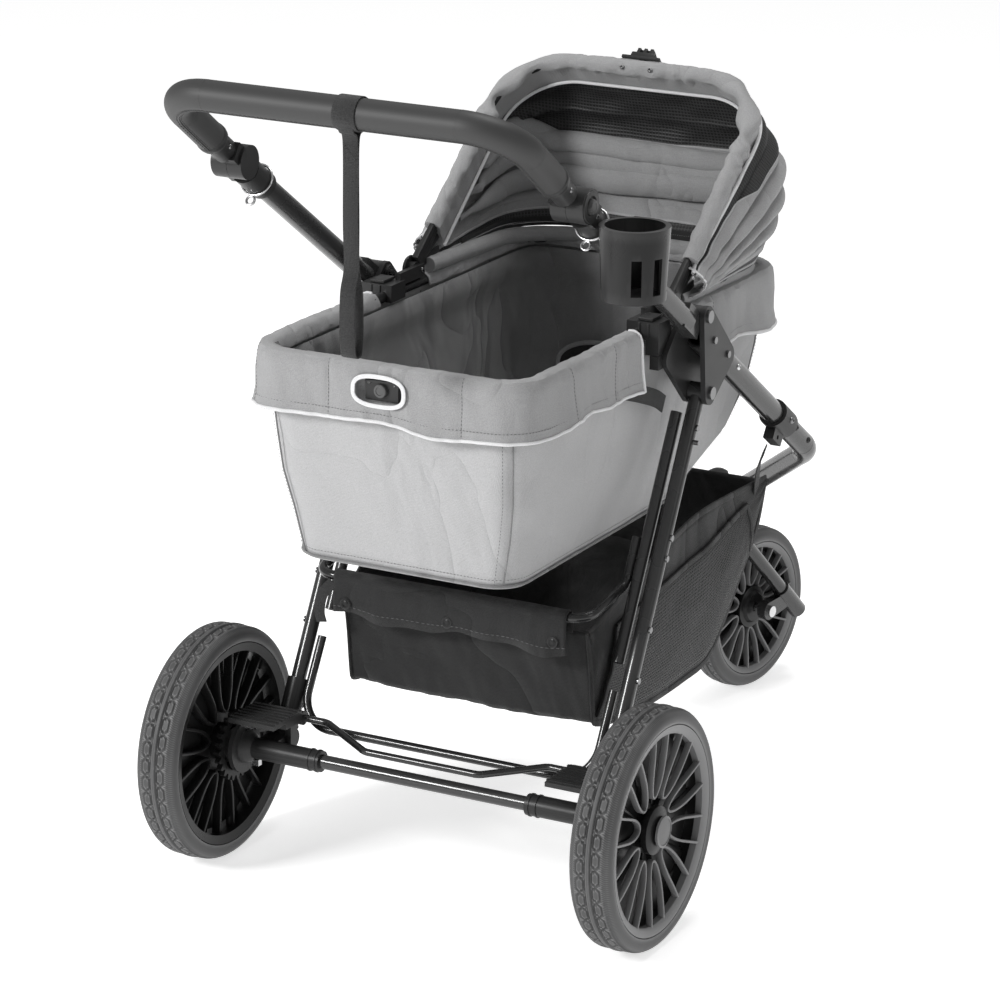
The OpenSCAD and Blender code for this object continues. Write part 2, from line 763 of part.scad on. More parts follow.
// Tyre about the X axis: width w, radius r, with rounded shoulders and a shallow centre groove
module tyre_shape(r, w) {
    inner = r - tyre_depth;
    crown = shoulder_r;
    rotate([0, 90, 0]) rotate_extrude($fn = 128) difference() {
        union() {
            translate([inner, -w / 2 + 2]) square([4, w - 4]);
            translate([inner + 2, -w / 2 + crown]) square([tyre_depth - 2, w - 2 * crown]);
            translate([inner + 2, -w / 2]) square([tyre_depth - crown - 2, w]);
            for (y = [-w / 2 + crown, w / 2 - crown]) translate([r - crown, y]) circle(crown);
        }
        translate([0, -w]) square([inner, 2 * w]);
        for (y = [-7, 5]) translate([r - 1.5, y]) square([3, 2]);
    }
}

// Rim about the X axis: outer ring, hub and tapered spokes
module rim_shape(r, w, axle_hole, hub_w) {
    outer = r - tyre_depth;
    rotate([0, 90, 0]) difference() {
        union() {
            rotate_extrude($fn = 128) translate([outer - rim_ring, -w / 2 + 4]) square([rim_ring, w - 8]);
            translate([0, 0, -hub_w / 2]) cylinder(r = hub_r, h = hub_w);
            for (i = [0 : spokes - 1])
                rotate([0, 0, i * 360 / spokes]) translate([hub_r - 2, -2.2, w / 2 - 22])
                    cube([outer - hub_r - rim_ring + 3, 4.4, 12]);
        }
        translate([0, 0, -w]) cylinder(r = axle_hole, h = 2 * w);
    }
}

module tyre(side) {
    color(rubber) placed() translate([side * wheel_x, 0, axle[2]]) tyre_shape(rear_wheel_r, rear_tyre_w);
}

module rim(side) {
    slot_hw = brake_pin_r + slot_gap;
    color(plastic) placed() scale_side(side) translate([0, 0, axle[2]]) {
        translate([wheel_x, 0, 0])
            rim_shape(rear_wheel_r - fit_gap, rear_tyre_w, stub_r + running_gap, rear_tyre_w - 8);
        difference() {
            x_bar(drum_in, drum_in + drum_t, drum_r);
            x_bar(drum_in - 1, drum_in + drum_t + 1, stub_r + running_gap);
            for (i = [0 : drum_slots - 1]) rotate([i * 360 / drum_slots, 0, 0])
                box([drum_in - 1, -slot_hw, pin_circle - slot_hw],
                    [drum_in + brake_throw + 1, slot_hw, pin_circle + slot_hw]);
        }
    }
}

module hub_cap(side) {
    color(plastic) placed() translate([0, 0, axle[2]]) scale_side(side) difference() {
        x_bar(tyre_out - 4 + fit_gap, tyre_out, hub_r - 2);
        for (i = [0 : 5]) rotate([i * 60, 0, 0]) x_bar(tyre_out - 1.2, tyre_out + 1, 2, 12, 0);
    }
}

// ---------- front fork and wheel ----------

// Fork frame: turned to its rest angle about the swivel axis
module on_fork() {
    placed() translate([0, swivel_reach, 0]) rotate([0, 0, -fork_angle]) children();
}

module front_fork() {
    slope = unit([arm_foot[0] - arm_top[0], arm_foot[1] - arm_top[1]]);
    color(metal) on_fork() difference() {
        union() {
            translate([0, 0, crown_bottom + 2])
                cylinder(r = stem_r, h = head_bottom + head_height - crown_bottom + 1);
            translate([0, 0, head_bottom + head_height + 0.4]) cylinder(r = stem_r + 5, h = 7);
            translate([0, 0, crown_bottom]) cylinder(r = head_r, h = crown_t);
            box([-arm_x, -16, crown_bottom], [arm_x, 8, crown_bottom + crown_t]);
            for (x = [-arm_x, arm_x]) {
                rod([x, arm_top[0], arm_top[1]], [x, arm_foot[0], arm_foot[1]], arm_r);
                rod([x, arm_foot[0] - 62 * slope[0], arm_foot[1] - 62 * slope[1]],
                    [x, arm_foot[0], arm_foot[1]], arm_r + 2.5);
            }
            for (x = [dropout_in, -dropout_in - dropout_t]) hull() {
                x_bar(x, x + dropout_t, 13, fork_trail, front_wheel_r);
                x_bar(x, x + dropout_t, 10, arm_foot[0] - 36 * slope[0], arm_foot[1] - 36 * slope[1]);
            }
        }
        x_bar(-100, 100, front_axle_r + running_gap, fork_trail, front_wheel_r);
    }
}

module front_axle() {
    color(steel) on_fork() {
        x_bar(-dropout_in - dropout_t, dropout_in + dropout_t, front_axle_r, fork_trail, front_wheel_r);
        for (x = [-dropout_in - dropout_t - 5, dropout_in + dropout_t])
            x_bar(x, x + 5, 8, fork_trail, front_wheel_r);
    }
}

module front_tyre() {
    color(rubber) on_fork() translate([0, fork_trail, front_wheel_r])
        tyre_shape(front_wheel_r, front_tyre_w);
}

module front_rim() {
    color(plastic) on_fork() translate([0, fork_trail, front_wheel_r])
        rim_shape(front_wheel_r - fit_gap, front_tyre_w, front_axle_r + running_gap, front_tyre_w + 8);
}

// ---------- carrier ----------

// Solid outer form of the carrier, grown by g and carried on up to a given height
module carrier_form(g, top) {
    hull() {
        for (l = levels) slab([l[0] - (l[0] == shell_bottom ? min(g, 0) : 0), l[1], l[2], l[3], l[4]], g);
        slab([top - 0.5, carrier_back, rim_front, carrier_hw, 60], g);
    }
}

module carrier_shell() {
    color(grey_cloth) placed() difference() {
        carrier_form(0, shell_top);
        carrier_form(-carrier_wall, shell_top + 20);
    }
}

// Folded fabric band outside the rim, in two lengths that leave the clips free
module carrier_collar() {
    low = collar_top - collar_depth;
    color(grey_cloth) placed() difference() {
        hull() {
            slab([low, carrier_back - 4, rim_front + 2, carrier_hw + 5, 60]);
            slab([collar_top - 0.5, carrier_back - 10, rim_front + 9, carrier_hw + 11, 64]);
        }
        carrier_form(0.5, collar_top + 1);
        box([-frame_w, collar_gap[0], low - 1], [frame_w, collar_gap[1], collar_top + 1]);
        for (x = [-18, 18]) translate([x, carrier_back - 40, rim_height - 21]) rotate([-90, 0, 0])
            cylinder(r = 17, h = 60);
        box([-18, carrier_back - 40, rim_height - 38], [18, carrier_back + 20, rim_height - 4]);
    }
}

// Closed tube loop that stiffens the rim
module rim_frame() {
    x = carrier_hw - rim_tube_r;
    y0 = carrier_back + rim_tube_r;
    y1 = rim_front - rim_tube_r;
    corner = 53;
    color(metal) placed() translate([0, 0, rim_height]) {
        for (s = [-1, 1]) rod([s * x, y0 + corner, 0], [s * x, y1 - corner, 0], rim_tube_r);
        for (y = [y0, y1]) rod([-x + corner, y, 0], [x - corner, y, 0], rim_tube_r);
        for (c = [[x, y1, 0], [-x, y1, 90], [-x, y0, 180], [x, y0, 270]])
            translate([c[0] - sign(c[0]) * corner, c[1] + (c[1] == y1 ? -corner : corner), 0])
                rotate([0, 0, c[2]]) rotate_extrude(angle = 90) translate([corner, 0]) circle(rim_tube_r);
    }
}

module floor_pad() {
    l = levels[0];
    color(grey_cloth) placed() hull() {
        slab([shell_bottom + carrier_wall + 1.5, l[1] + 6, l[2] - 6, l[3] - 6, l[4] - 4]);
        slab([shell_bottom + carrier_wall + 18, l[1] + 6, l[2] - 6, l[3] - 6, l[4] - 4]);
    }
}

// Clip on each side of the rim frame, with the socket that drops over the adapter's post and
// an arm inside the rim whose pin the hood's bow turns on
module carrier_clips() {
    arm_x = bow_x - max(bow_eye_hw, bow_r) - side_gap;
    color(plastic) placed() for (side = [-1, 1]) scale_side(side) difference() {
        union() {
            box([arm_x - 7, clip_y[1] - 6, rim_height + rim_tube_r + 2],
                [arm_x, hood_pivot[1] + 7, hood_pivot[2] + 7]);
            x_bar(arm_x - 1, bow_x + bow_eye_hw + 1.5, hood_pin_r, hood_pivot[1], hood_pivot[2]);
            box([carrier_hw - 20, clip_y[0], rim_height - 6], [lug_x - 0.6, clip_y[1], rim_height + 16]);
            box([carrier_hw + 6, clip_y[0], rim_height - 24.5], [lug_x - 0.6, clip_y[1], rim_height]);
        }
        translate([carrier_hw - rim_tube_r, clip_y[0] - 1, rim_height]) rotate([-90, 0, 0])
            cylinder(r = rim_tube_r + fit_gap, h = clip_y[1] - clip_y[0] + 2);
        box([post_x[0] - 0.5, clip_y[0] + 5.5, rim_height - 26],
            [post_x[1] + 0.5, clip_y[1] - 5.5, rim_height - 7]);
    }
}

module latch_block() {
    color(plastic) placed() difference() {
        box([-22, carrier_back - 7, rim_height - 34], [22, carrier_back + 0.5, rim_height - 8]);
        translate([0, carrier_back - 8, rim_height - 21]) rotate([-90, 0, 0]) cylinder(r = 8.3, h = 6);
        carrier_form(0.4, collar_top);
    }
}

module latch_button() {
    color(plastic) placed() translate([0, carrier_back - 12, rim_height - 21]) rotate([-90, 0, 0])
        cylinder(r = 8, h = 6.5);
}

// ---------- hood ----------

// Frame at the hood's pivot, turned up by an angle: y runs out from the pivot
module on_hood(angle) {
    placed() translate(hood_pivot) rotate([angle, 0, 0]) children();
}

module hood_bow() {
    top = hood_r - bow_r;
    color(plastic) on_hood(hood_angle) {
        bent_tube([[-bow_x, bow_eye_r - 3, 0], [-bow_x, top, 0], [bow_x, top, 0],
                   [bow_x, bow_eye_r - 3, 0]], bow_corner, bow_r);
        for (side = [-1, 1]) difference() {
            x_bar(side * (bow_x - bow_eye_hw), side * (bow_x + bow_eye_hw), bow_eye_r);
            x_bar(-tube_x, tube_x, hood_pin_r + running_gap);
        }
    }
}

// Fabric between the leading bow and the front of the rim, gathered in folds
module hood_fabric() {
    below = [[-24, rim_reach - 16]];
    above = [[hood_angle + 18, hood_r]];
    color(grey_cloth) difference() {
        hull() for (s = hood_sections) hood_slice(s[0], s[1], 0);
        hull() for (s = concat(below, hood_sections, above)) hood_slice(s[0], s[1], -hood_wall);
    }
}

// Thin slice of the hood at one angle, with rounded upper corners
module hood_slice(angle, reach, grow) {
    on_hood(angle) {
        for (side = [-1, 1]) {
            translate([side * (hood_hw - hood_corner), reach - hood_corner, 0])
                cylinder(r = hood_corner + grow, h = 0.6, $fn = 32);
            translate([side * (hood_hw + grow) - (side > 0 ? 1 : 0), grow, 0]) cube([1, 4, 0.6]);
        }
    }
}

// Two-part buckle block on the middle of the leading bow
module hood_buckle() {
    color(plastic) on_hood(hood_angle) difference() {
        box([-24, hood_r - 2 * bow_r - 3, -8], [24, hood_r + 12, 8]);
        x_bar(-30, 30, bow_r + fit_gap, hood_r - bow_r, 0);
        for (x = [-16, 16]) translate([x, hood_r + 8, -10]) cylinder(r = 2, h = 20);
    }
}

front_tube(-1);  // front_tube_left
front_tube(1);  // front_tube_right
hinge_bracket(-1);  // hinge_bracket_left
hinge_bracket(1);  // hinge_bracket_right
fork_crown();
tube_clamps();
carrier_adapters();
hinge_pins();
basket();
push_tube(-1);  // push_tube_left
push_tube(1);  // push_tube_right
hinge_housing(-1);  // hinge_housing_left
hinge_housing(1);  // hinge_housing_right
d_rings();
cup_clamp();
cup_holder();
handle_bar();
handle_grip();
handle_hub(-1);  // handle_hub_left
handle_hub(1);  // handle_hub_right
wrist_strap();
hinge_button(-1);  // hinge_button_left
hinge_button(1);  // hinge_button_right
latch_links();
rear_leg(-1);  // rear_leg_left
rear_leg(1);  // rear_leg_right
lower_crossbar();
basket_bar();
rear_axle();
axle_bracket(-1);  // axle_bracket_left
axle_bracket(1);  // axle_bracket_right
stub_axles();
leg_rivets();
wheel_release(-1);  // wheel_release_left
wheel_release(1);  // wheel_release_right
brake_pedal(-1);  // brake_pedal_left
brake_pedal(1);  // brake_pedal_right
brake_link();
brake_pin(-1);  // brake_pin_left
brake_pin(1);  // brake_pin_right
tyre(-1);  // tyre_left
rim(-1);  // rim_left
hub_cap(-1);  // hub_cap_left
tyre(1);  // tyre_right
rim(1);  // rim_right
hub_cap(1);  // hub_cap_right
front_fork();
front_tyre();
front_rim();
front_axle();
carrier_shell();
carrier_collar();
rim_frame();
floor_pad();
carrier_clips();
latch_block();
latch_button();
hood_bow();
hood_fabric();
hood_buckle();
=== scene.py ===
"""Pet stroller: cloth, webbing, tyres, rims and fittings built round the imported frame, in metres.

X points right, Y the way the stroller travels and Z up. "Ahead" is a distance in front of the rear axle.
"""

import enum
import json
import logging
import math
from dataclasses import dataclass, field
from typing import Callable, Optional, Sequence

import bmesh
import bpy
import numpy as np
from mathutils import Matrix, Vector


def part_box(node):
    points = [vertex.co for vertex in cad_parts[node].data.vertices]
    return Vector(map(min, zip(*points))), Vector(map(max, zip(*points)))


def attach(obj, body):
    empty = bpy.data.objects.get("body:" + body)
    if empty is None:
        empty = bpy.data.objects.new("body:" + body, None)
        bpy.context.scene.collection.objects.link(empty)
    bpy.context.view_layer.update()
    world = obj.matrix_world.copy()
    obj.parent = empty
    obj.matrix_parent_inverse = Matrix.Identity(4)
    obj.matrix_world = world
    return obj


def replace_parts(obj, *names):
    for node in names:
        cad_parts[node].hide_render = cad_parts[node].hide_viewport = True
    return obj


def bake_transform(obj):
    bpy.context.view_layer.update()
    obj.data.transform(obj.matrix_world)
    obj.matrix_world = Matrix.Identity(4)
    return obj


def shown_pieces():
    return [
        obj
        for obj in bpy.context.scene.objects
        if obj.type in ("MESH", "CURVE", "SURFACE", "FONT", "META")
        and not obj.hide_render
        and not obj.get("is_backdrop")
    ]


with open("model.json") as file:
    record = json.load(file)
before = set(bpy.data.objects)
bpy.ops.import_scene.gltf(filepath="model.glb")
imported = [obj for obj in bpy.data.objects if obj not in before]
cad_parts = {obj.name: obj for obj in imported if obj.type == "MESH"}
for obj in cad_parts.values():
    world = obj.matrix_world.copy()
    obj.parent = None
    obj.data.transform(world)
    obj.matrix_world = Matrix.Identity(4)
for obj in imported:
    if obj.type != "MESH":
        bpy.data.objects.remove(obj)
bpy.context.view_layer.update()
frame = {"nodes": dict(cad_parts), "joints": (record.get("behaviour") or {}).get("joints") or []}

log = logging.getLogger("stroller")

MM = 0.001
AXLE = (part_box("tyre_right")[0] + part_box("tyre_right")[1]) / 2
RIGHT = np.array([1.0, 0.0, 0.0])
FORWARD = np.array([0.0, 1.0, 0.0])
BACKWARD = -FORWARD
UP = np.array([0.0, 0.0, 1.0])
TUBE_SLOPE = math.radians(34)
DOWN_TUBE = np.array([0.0, math.cos(TUBE_SLOPE), -math.sin(TUBE_SLOPE)])
UPRIGHT = 0.9


class Side(enum.Enum):
    """The two sides of the stroller, each with the sign of its x."""

    LEFT = -1
    RIGHT = 1


SIDES = tuple((side.name.lower(), side.value) for side in Side)


def at(x: float, ahead: float, z: float) -> np.ndarray:
    """A point in metres from millimetres right of the middle, ahead of the rear axle and above the floor."""
    return np.array([x * MM, AXLE.y + ahead * MM, z * MM])


def joint_point(name: str) -> np.ndarray:
    """Where the named joint turns, in metres."""
    return np.array(next(j["pos_m"] for j in frame["joints"] if j["name"] == name))


def raised(angle: float) -> np.ndarray:
    """The direction straight ahead, raised by an angle."""
    return np.array([0.0, math.cos(angle), math.sin(angle)])


def add_object(name: str, data: Optional[bpy.types.ID]) -> bpy.types.Object:
    """Puts an object with its data in the scene."""
    thing = bpy.data.objects.new(name, data)
    bpy.context.scene.collection.objects.link(thing)
    return thing


# ---------- finishes ----------


class Tree:
    """Short ways to add and join the nodes of one material or group."""

    def __init__(self, tree: bpy.types.NodeTree) -> None:
        """Keeps the node tree."""
        self.tree = tree

    def add(self, kind: str, **settings: object) -> bpy.types.Node:
        """Adds a node and sets its own properties."""
        node = self.tree.nodes.new(kind)
        for key, value in settings.items():
            setattr(node, key, value)
        return node

    def join(self, source: bpy.types.NodeSocket, target: bpy.types.NodeSocket) -> None:
        """Links two sockets."""
        self.tree.links.new(source, target)

    def feed(self, target: bpy.types.NodeSocket, value: object) -> None:
        """Links a socket, or sets a plain value, on a target socket."""
        if isinstance(value, bpy.types.NodeSocket):
            self.join(value, target)
        else:
            target.default_value = value

    def math(self, kind: str, a: object, b: object = 0.0, clamp: bool = False) -> bpy.types.NodeSocket:
        """A Math node's result for two sockets or numbers."""
        node = self.add("ShaderNodeMath", operation=kind, use_clamp=clamp)
        self.feed(node.inputs[0], a)
        self.feed(node.inputs[1], b)
        return node.outputs[0]

    def mix(self, share: object, a: object, b: object) -> bpy.types.NodeSocket:
        """A colour mixed from a to b."""
        node = self.add("ShaderNodeMix", data_type="RGBA")
        self.feed(node.inputs[0], share)
        self.feed(node.inputs[6], a)
        self.feed(node.inputs[7], b)
        return node.outputs[2]

    def noise(self, place: bpy.types.NodeSocket, scale: object, detail: float = 2.0) -> bpy.types.NodeSocket:
        """A noise value at a place."""
        node = self.add("ShaderNodeTexNoise")
        node.inputs["Detail"].default_value = detail
        self.join(place, node.inputs["Vector"])
        self.feed(node.inputs["Scale"], scale)
        return node.outputs["Fac"]

    def place(self, kind: str = "Object") -> bpy.types.NodeSocket:
        """The place being shaded, in the object's own axes or in its map."""
        return self.add("ShaderNodeTexCoord").outputs[kind]

    def split(self, source: bpy.types.NodeSocket) -> list:
        """The three parts of a vector."""
        node = self.add("ShaderNodeSeparateXYZ")
        self.join(source, node.inputs[0])
        return list(node.outputs)

    def span(self, value: bpy.types.NodeSocket, low: float, high: float,
             to: tuple = (0.0, 1.0)) -> bpy.types.NodeSocket:
        """A value moved from one range to another, and held inside it."""
        node = self.add("ShaderNodeMapRange")
        self.join(value, node.inputs[0])
        for socket, number in zip(node.inputs[1:5], (low, high, *to)):
            socket.default_value = number
        return node.outputs[0]


def fill(node: bpy.types.Node, values: dict) -> None:
    """Sets a node's inputs by their labels."""
    for label, value in values.items():
        node.inputs[label].default_value = value


def shader_group(name: str, inputs: Sequence[tuple], outputs: Sequence[tuple],
                 build: Callable[[Tree, dict], dict]) -> bpy.types.NodeTree:
    """Makes a shader node group once.

    Args:
        name: the group's name.
        inputs: (name, kind, default) of each input.
        outputs: (name, kind) of each output.
        build: takes the tree and the input sockets, and returns the sockets that feed the outputs.

    Returns:
        The group, made now or before.
    """
    if name in bpy.data.node_groups:
        return bpy.data.node_groups[name]
    group = bpy.data.node_groups.new(name, "ShaderNodeTree")
    for label, kind, default in inputs:
        group.interface.new_socket(name=label, in_out="INPUT", socket_type=kind).default_value = default
    for label, kind in outputs:
        group.interface.new_socket(name=label, in_out="OUTPUT", socket_type=kind)
    tree = Tree(group)
    given, taken = tree.add("NodeGroupInput"), tree.add("NodeGroupOutput")
    made = build(tree, {s.name: s for s in given.outputs if s.name})
    for label, source in made.items():
        tree.join(source, taken.inputs[label])
    return group


NUMBER, COLOUR = "NodeSocketFloat", "NodeSocketColor"


def weave_group() -> bpy.types.NodeTree:
    """Crossed threads that read the same on every face: a height and a soft tone."""

    def build(t: Tree, given: dict) -> dict:
        """The height and tone of crossed threads."""
        place = t.place()
        split = t.split(place)
        turns = t.math("DIVIDE", 2 * math.pi, given["Pitch"])
        x, y, z = (t.math("SINE", t.math("MULTIPLY", part, turns)) for part in split)
        pairs = [t.math("MULTIPLY", a, b) for a, b in ((x, y), (y, z), (z, x))]
        height = t.math("ADD", t.math("ADD", pairs[0], pairs[1]), pairs[2])
        thread = t.noise(place, t.math("DIVIDE", 1.5, given["Pitch"]), 3.0)
        return {"Height": height, "Tone": t.span(thread, 0.3, 0.7)}

    return shader_group("woven_threads", [("Pitch", NUMBER, 0.0016)], [("Height", NUMBER), ("Tone", NUMBER)],
                        build)


def grain_group() -> bpy.types.NodeTree:
    """Fine moulded or cast grain with slow patches of handling."""

    def build(t: Tree, given: dict) -> dict:
        """The height of the grain and its slow patches."""
        place = t.place()
        fine = t.noise(place, given["Scale"], 4.0)
        slow = t.noise(place, 14.0, 3.0)
        return {"Height": fine, "Patches": t.span(slow, 0.3, 0.7)}

    return shader_group("fine_grain", [("Scale", NUMBER, 900.0)], [("Height", NUMBER), ("Patches", NUMBER)],
                        build)


def crease_group() -> bpy.types.NodeTree:
    """Long soft creases of slack cloth."""

    def build(t: Tree, given: dict) -> dict:
        """The height of the creases."""
        place = t.place()
        stretch = t.add("ShaderNodeMapping")
        t.join(place, stretch.inputs["Vector"])
        fill(stretch, {"Rotation": (0.3, 0.2, 0.5), "Scale": (1.0, 1.0, 0.45)})
        node = t.add("ShaderNodeTexNoise")
        fill(node, {"Detail": 2.5, "Distortion": 0.9})
        t.join(stretch.outputs[0], node.inputs["Vector"])
        t.feed(node.inputs["Scale"], given["Scale"])
        ridge = t.math("ABSOLUTE", t.math("SUBTRACT", node.outputs["Fac"], 0.5))
        return {"Height": t.math("POWER", t.math("MULTIPLY", ridge, 4.0), 0.7)}

    return shader_group("slack_creases", [("Scale", NUMBER, 6.0)], [("Height", NUMBER)], build)


def wear_group() -> bpy.types.NodeTree:
    """Rubbed edges and a little dust on what faces up."""

    def build(t: Tree, given: dict) -> dict:
        """The shares of rubbed edge and settled dust."""
        shape = t.add("ShaderNodeNewGeometry")
        edge = t.span(shape.outputs["Pointiness"], 0.51, 0.56)
        facing = t.split(shape.outputs["Normal"])
        place = t.place()
        blotch = t.span(t.noise(place, 38.0, 4.0), 0.45, 0.75)
        dust = t.math("MULTIPLY", t.span(facing[2], 0.4, 1.0), blotch)
        return {"Edge": t.math("MULTIPLY", edge, given["Rub"]),
                "Dust": t.math("MULTIPLY", dust, given["Settled"])}

    return shader_group("edge_wear", [("Rub", NUMBER, 0.3), ("Settled", NUMBER, 0.1)],
                        [("Edge", NUMBER), ("Dust", NUMBER)], build)


def holes_group() -> bpy.types.NodeTree:
    """Staggered round holes of an open net, laid out by the panel's own map in metres."""

    def build(t: Tree, given: dict) -> dict:
        """Where the thread is, and its height."""
        split = t.split(t.place("UV"))
        turns = t.math("DIVIDE", math.pi, given["Pitch"])
        u, v = (t.math("SINE", t.math("MULTIPLY", part, turns)) for part in split[:2])
        height = t.math("ABSOLUTE", t.math("MULTIPLY", u, v))
        return {"Thread": t.math("LESS_THAN", height, given["Open"]), "Height": height}

    return shader_group("net_holes", [("Pitch", NUMBER, 0.0032), ("Open", NUMBER, 0.62)],
                        [("Thread", NUMBER), ("Height", NUMBER)], build)


@dataclass(frozen=True)
class Finish:
    """What every finish shares: a name, two tones, the record's slot and a roughness."""

    name: str
    dark: tuple
    light: tuple
    slot: str
    rough: float = 0.6

    def material(self) -> bpy.types.Material:
        """The Blender material, made once."""
        if self.name in bpy.data.materials:
            return bpy.data.materials[self.name]
        made = bpy.data.materials.new(self.name)
        made.use_nodes = True
        made.diffuse_color = (*self.light, 1.0)
        tree = Tree(made.node_tree)
        shader = made.node_tree.nodes["Principled BSDF"]
        shader.inputs["Roughness"].default_value = self.rough
        self.dress(tree, shader)
        return made

    def dress(self, tree: Tree, shader: bpy.types.Node) -> None:
        """Wires the finish's own look into the shader."""
        raise NotImplementedError

    def use(self, tree: Tree, group: bpy.types.NodeTree, **values: float) -> bpy.types.Node:
        """Places a group in the material with its values."""
        node = tree.add("ShaderNodeGroup", node_tree=group)
        fill(node, values)
        return node

    def bump(self, tree: Tree, shader: bpy.types.Node, height: bpy.types.NodeSocket, depth: float,
             strength: float = 0.5) -> None:
        """Feeds the shader's normal from a height.

        Args:
            tree: the material's tree.
            shader: the node whose normal is fed.
            height: the height's socket.
            depth: how deep the height goes, in metres.
            strength: how much of it is felt.
        """
        node = tree.add("ShaderNodeBump")
        fill(node, {"Strength": strength, "Distance": depth})
        tree.join(height, node.inputs["Height"])
        tree.join(node.outputs[0], shader.inputs["Normal"])

    def tones(self) -> tuple:
        """Both tones with full opacity."""
        return (*self.dark, 1.0), (*self.light, 1.0)


@dataclass(frozen=True)
class Cloth(Finish):
    """Woven cloth with a soft sheen."""

    pitch: float = 0.0016
    sheen: float = 0.25
    depth: float = 0.0004
    slack: float = 0.0

    def dress(self, tree: Tree, shader: bpy.types.Node) -> None:
        """Threads in two tones, with dust.

        Args:
            tree: the material's tree.
            shader: its main node.
        """
        weave = self.use(tree, weave_group(), Pitch=self.pitch)
        wear = self.use(tree, wear_group(), Rub=0.1, Settled=0.06)
        colour = tree.mix(weave.outputs["Tone"], *self.tones())
        colour = tree.mix(wear.outputs["Dust"], colour, (0.6, 0.6, 0.58, 1.0))
        tree.join(colour, shader.inputs["Base Color"])
        fill(shader, {"Sheen Weight": self.sheen, "Sheen Roughness": 0.45, "Specular IOR Level": 0.25})
        self.bump(tree, shader, weave.outputs["Height"], self.depth)
        if self.slack:
            creases = self.use(tree, crease_group(), Scale=5.5)
            soft = tree.add("ShaderNodeBump")
            fill(soft, {"Strength": 0.5, "Distance": self.slack})
            tree.join(creases.outputs["Height"], soft.inputs["Height"])
            weft = shader.inputs["Normal"].links[0].from_node
            tree.join(soft.outputs[0], weft.inputs["Normal"])


@dataclass(frozen=True)
class Net(Finish):
    """Open knitted net with staggered holes."""

    pitch: float = 0.0034
    open: float = 0.55
    hole_tone: float = 0.35

    def dress(self, tree: Tree, shader: bpy.types.Node) -> None:
        """Black threads round open holes.

        Args:
            tree: the material's tree.
            shader: its main node.
        """
        net = self.use(tree, holes_group(), Pitch=self.pitch, Open=self.open)
        weave = self.use(tree, weave_group(), Pitch=0.001)
        thread = tree.mix(weave.outputs["Tone"], *self.tones())
        tree.join(tree.mix(net.outputs["Thread"], (0.001, 0.001, 0.001, 1.0), thread),
                  shader.inputs["Base Color"])
        alpha = tree.math("MAXIMUM", net.outputs["Thread"], self.hole_tone)
        tree.join(alpha, shader.inputs["Alpha"])
        shader.inputs["Specular IOR Level"].default_value = 0.35
        self.bump(tree, shader, tree.math("MULTIPLY", net.outputs["Height"], -1.0), 0.0008, 0.7)


@dataclass(frozen=True)
class Moulded(Finish):
    """Moulded plastic or foam with a fine grain and rubbed edges."""

    grain: float = 900.0
    depth: float = 0.00012
    rub: float = 0.25
    dust: float = 0.05
    metallic: float = 0.0
    coat: float = 0.0
    shine: float = 0.4

    def dress(self, tree: Tree, shader: bpy.types.Node) -> None:
        """Grain, patches, wear and dust.

        Args:
            tree: the material's tree.
            shader: its main node.
        """
        grain = self.use(tree, grain_group(), Scale=self.grain)
        wear = self.use(tree, wear_group(), Rub=self.rub, Settled=self.dust)
        dark, light = self.tones()
        colour = tree.mix(grain.outputs["Patches"], dark, light)
        edge = tuple(min(1.0, c * 2.2 + 0.04) for c in self.light)
        colour = tree.mix(wear.outputs["Edge"], colour, (*edge, 1.0))
        colour = tree.mix(wear.outputs["Dust"], colour, (0.32, 0.31, 0.3, 1.0))
        tree.join(colour, shader.inputs["Base Color"])
        rough = tree.span(grain.outputs["Patches"], 0.0, 1.0, (self.rough - 0.06, self.rough + 0.06))
        tree.join(rough, shader.inputs["Roughness"])
        fill(shader, {"Metallic": self.metallic, "Specular IOR Level": self.shine, "Coat Weight": self.coat})
        self.bump(tree, shader, grain.outputs["Height"], self.depth)


@dataclass(frozen=True)
class Leather(Finish):
    """Pebbled leather, with painted highlight on the pebble tops and painted shade in the crevices."""

    pebble: float = 190.0

    def dress(self, tree: Tree, shader: bpy.types.Node) -> None:
        """Raised pebbles: their tops painted paler as highlight and the crevices between them painted darker
        as shade.

        Args:
            tree: the material's tree.
            shader: its main node.
        """
        place = tree.place()
        cells = tree.add("ShaderNodeTexVoronoi", feature="DISTANCE_TO_EDGE")
        cells.inputs["Scale"].default_value = self.pebble
        tree.join(place, cells.inputs["Vector"])
        height = tree.span(cells.outputs["Distance"], 0.02, 0.2)
        # Colour runs from the dark tone in the crevices to the light tone on the pebble tops: painted shade
        # and painted highlight.
        tree.join(tree.mix(height, *self.tones()), shader.inputs["Base Color"])
        tree.join(tree.span(height, 0.0, 1.0, (0.7, self.rough)), shader.inputs["Roughness"])
        self.bump(tree, shader, height, 0.003, 1.0)


def grey(value: float) -> tuple:
    """A neutral colour."""
    return (value, value, value * 1.01)


CANOPY_CLOTH = Cloth("canopy_cloth", grey(0.29), grey(0.38), "carrier_fabric", 0.85, slack=0.016)
PANEL_CLOTH = Cloth("panel_cloth", grey(0.39), grey(0.5), "carrier_fabric", 0.85, slack=0.013)
LINING_CLOTH = Cloth("lining_cloth", grey(0.17), grey(0.23), "carrier_fabric", 0.5, 0.0012, 0.5, slack=0.035)
PIPING = Cloth("pale_binding", grey(0.72), grey(0.86), "carrier_fabric", 0.8, 0.0011)
PAD_CLOTH = Cloth("pad_cloth", grey(0.28), grey(0.36), "pad_fabric", 0.9, 0.002)
BASKET_CLOTH = Cloth("basket_cloth", grey(0.012), grey(0.028), "basket_fabric", 0.6, 0.0014, 0.12, slack=0.02)
WEBBING = Cloth("black_webbing", grey(0.018), grey(0.045), "webbing", 0.7, 0.0018, 0.1, 0.0006)
THREAD_PALE = Cloth("pale_thread", grey(0.1), grey(0.16), "carrier_fabric", 0.8, 0.0006)
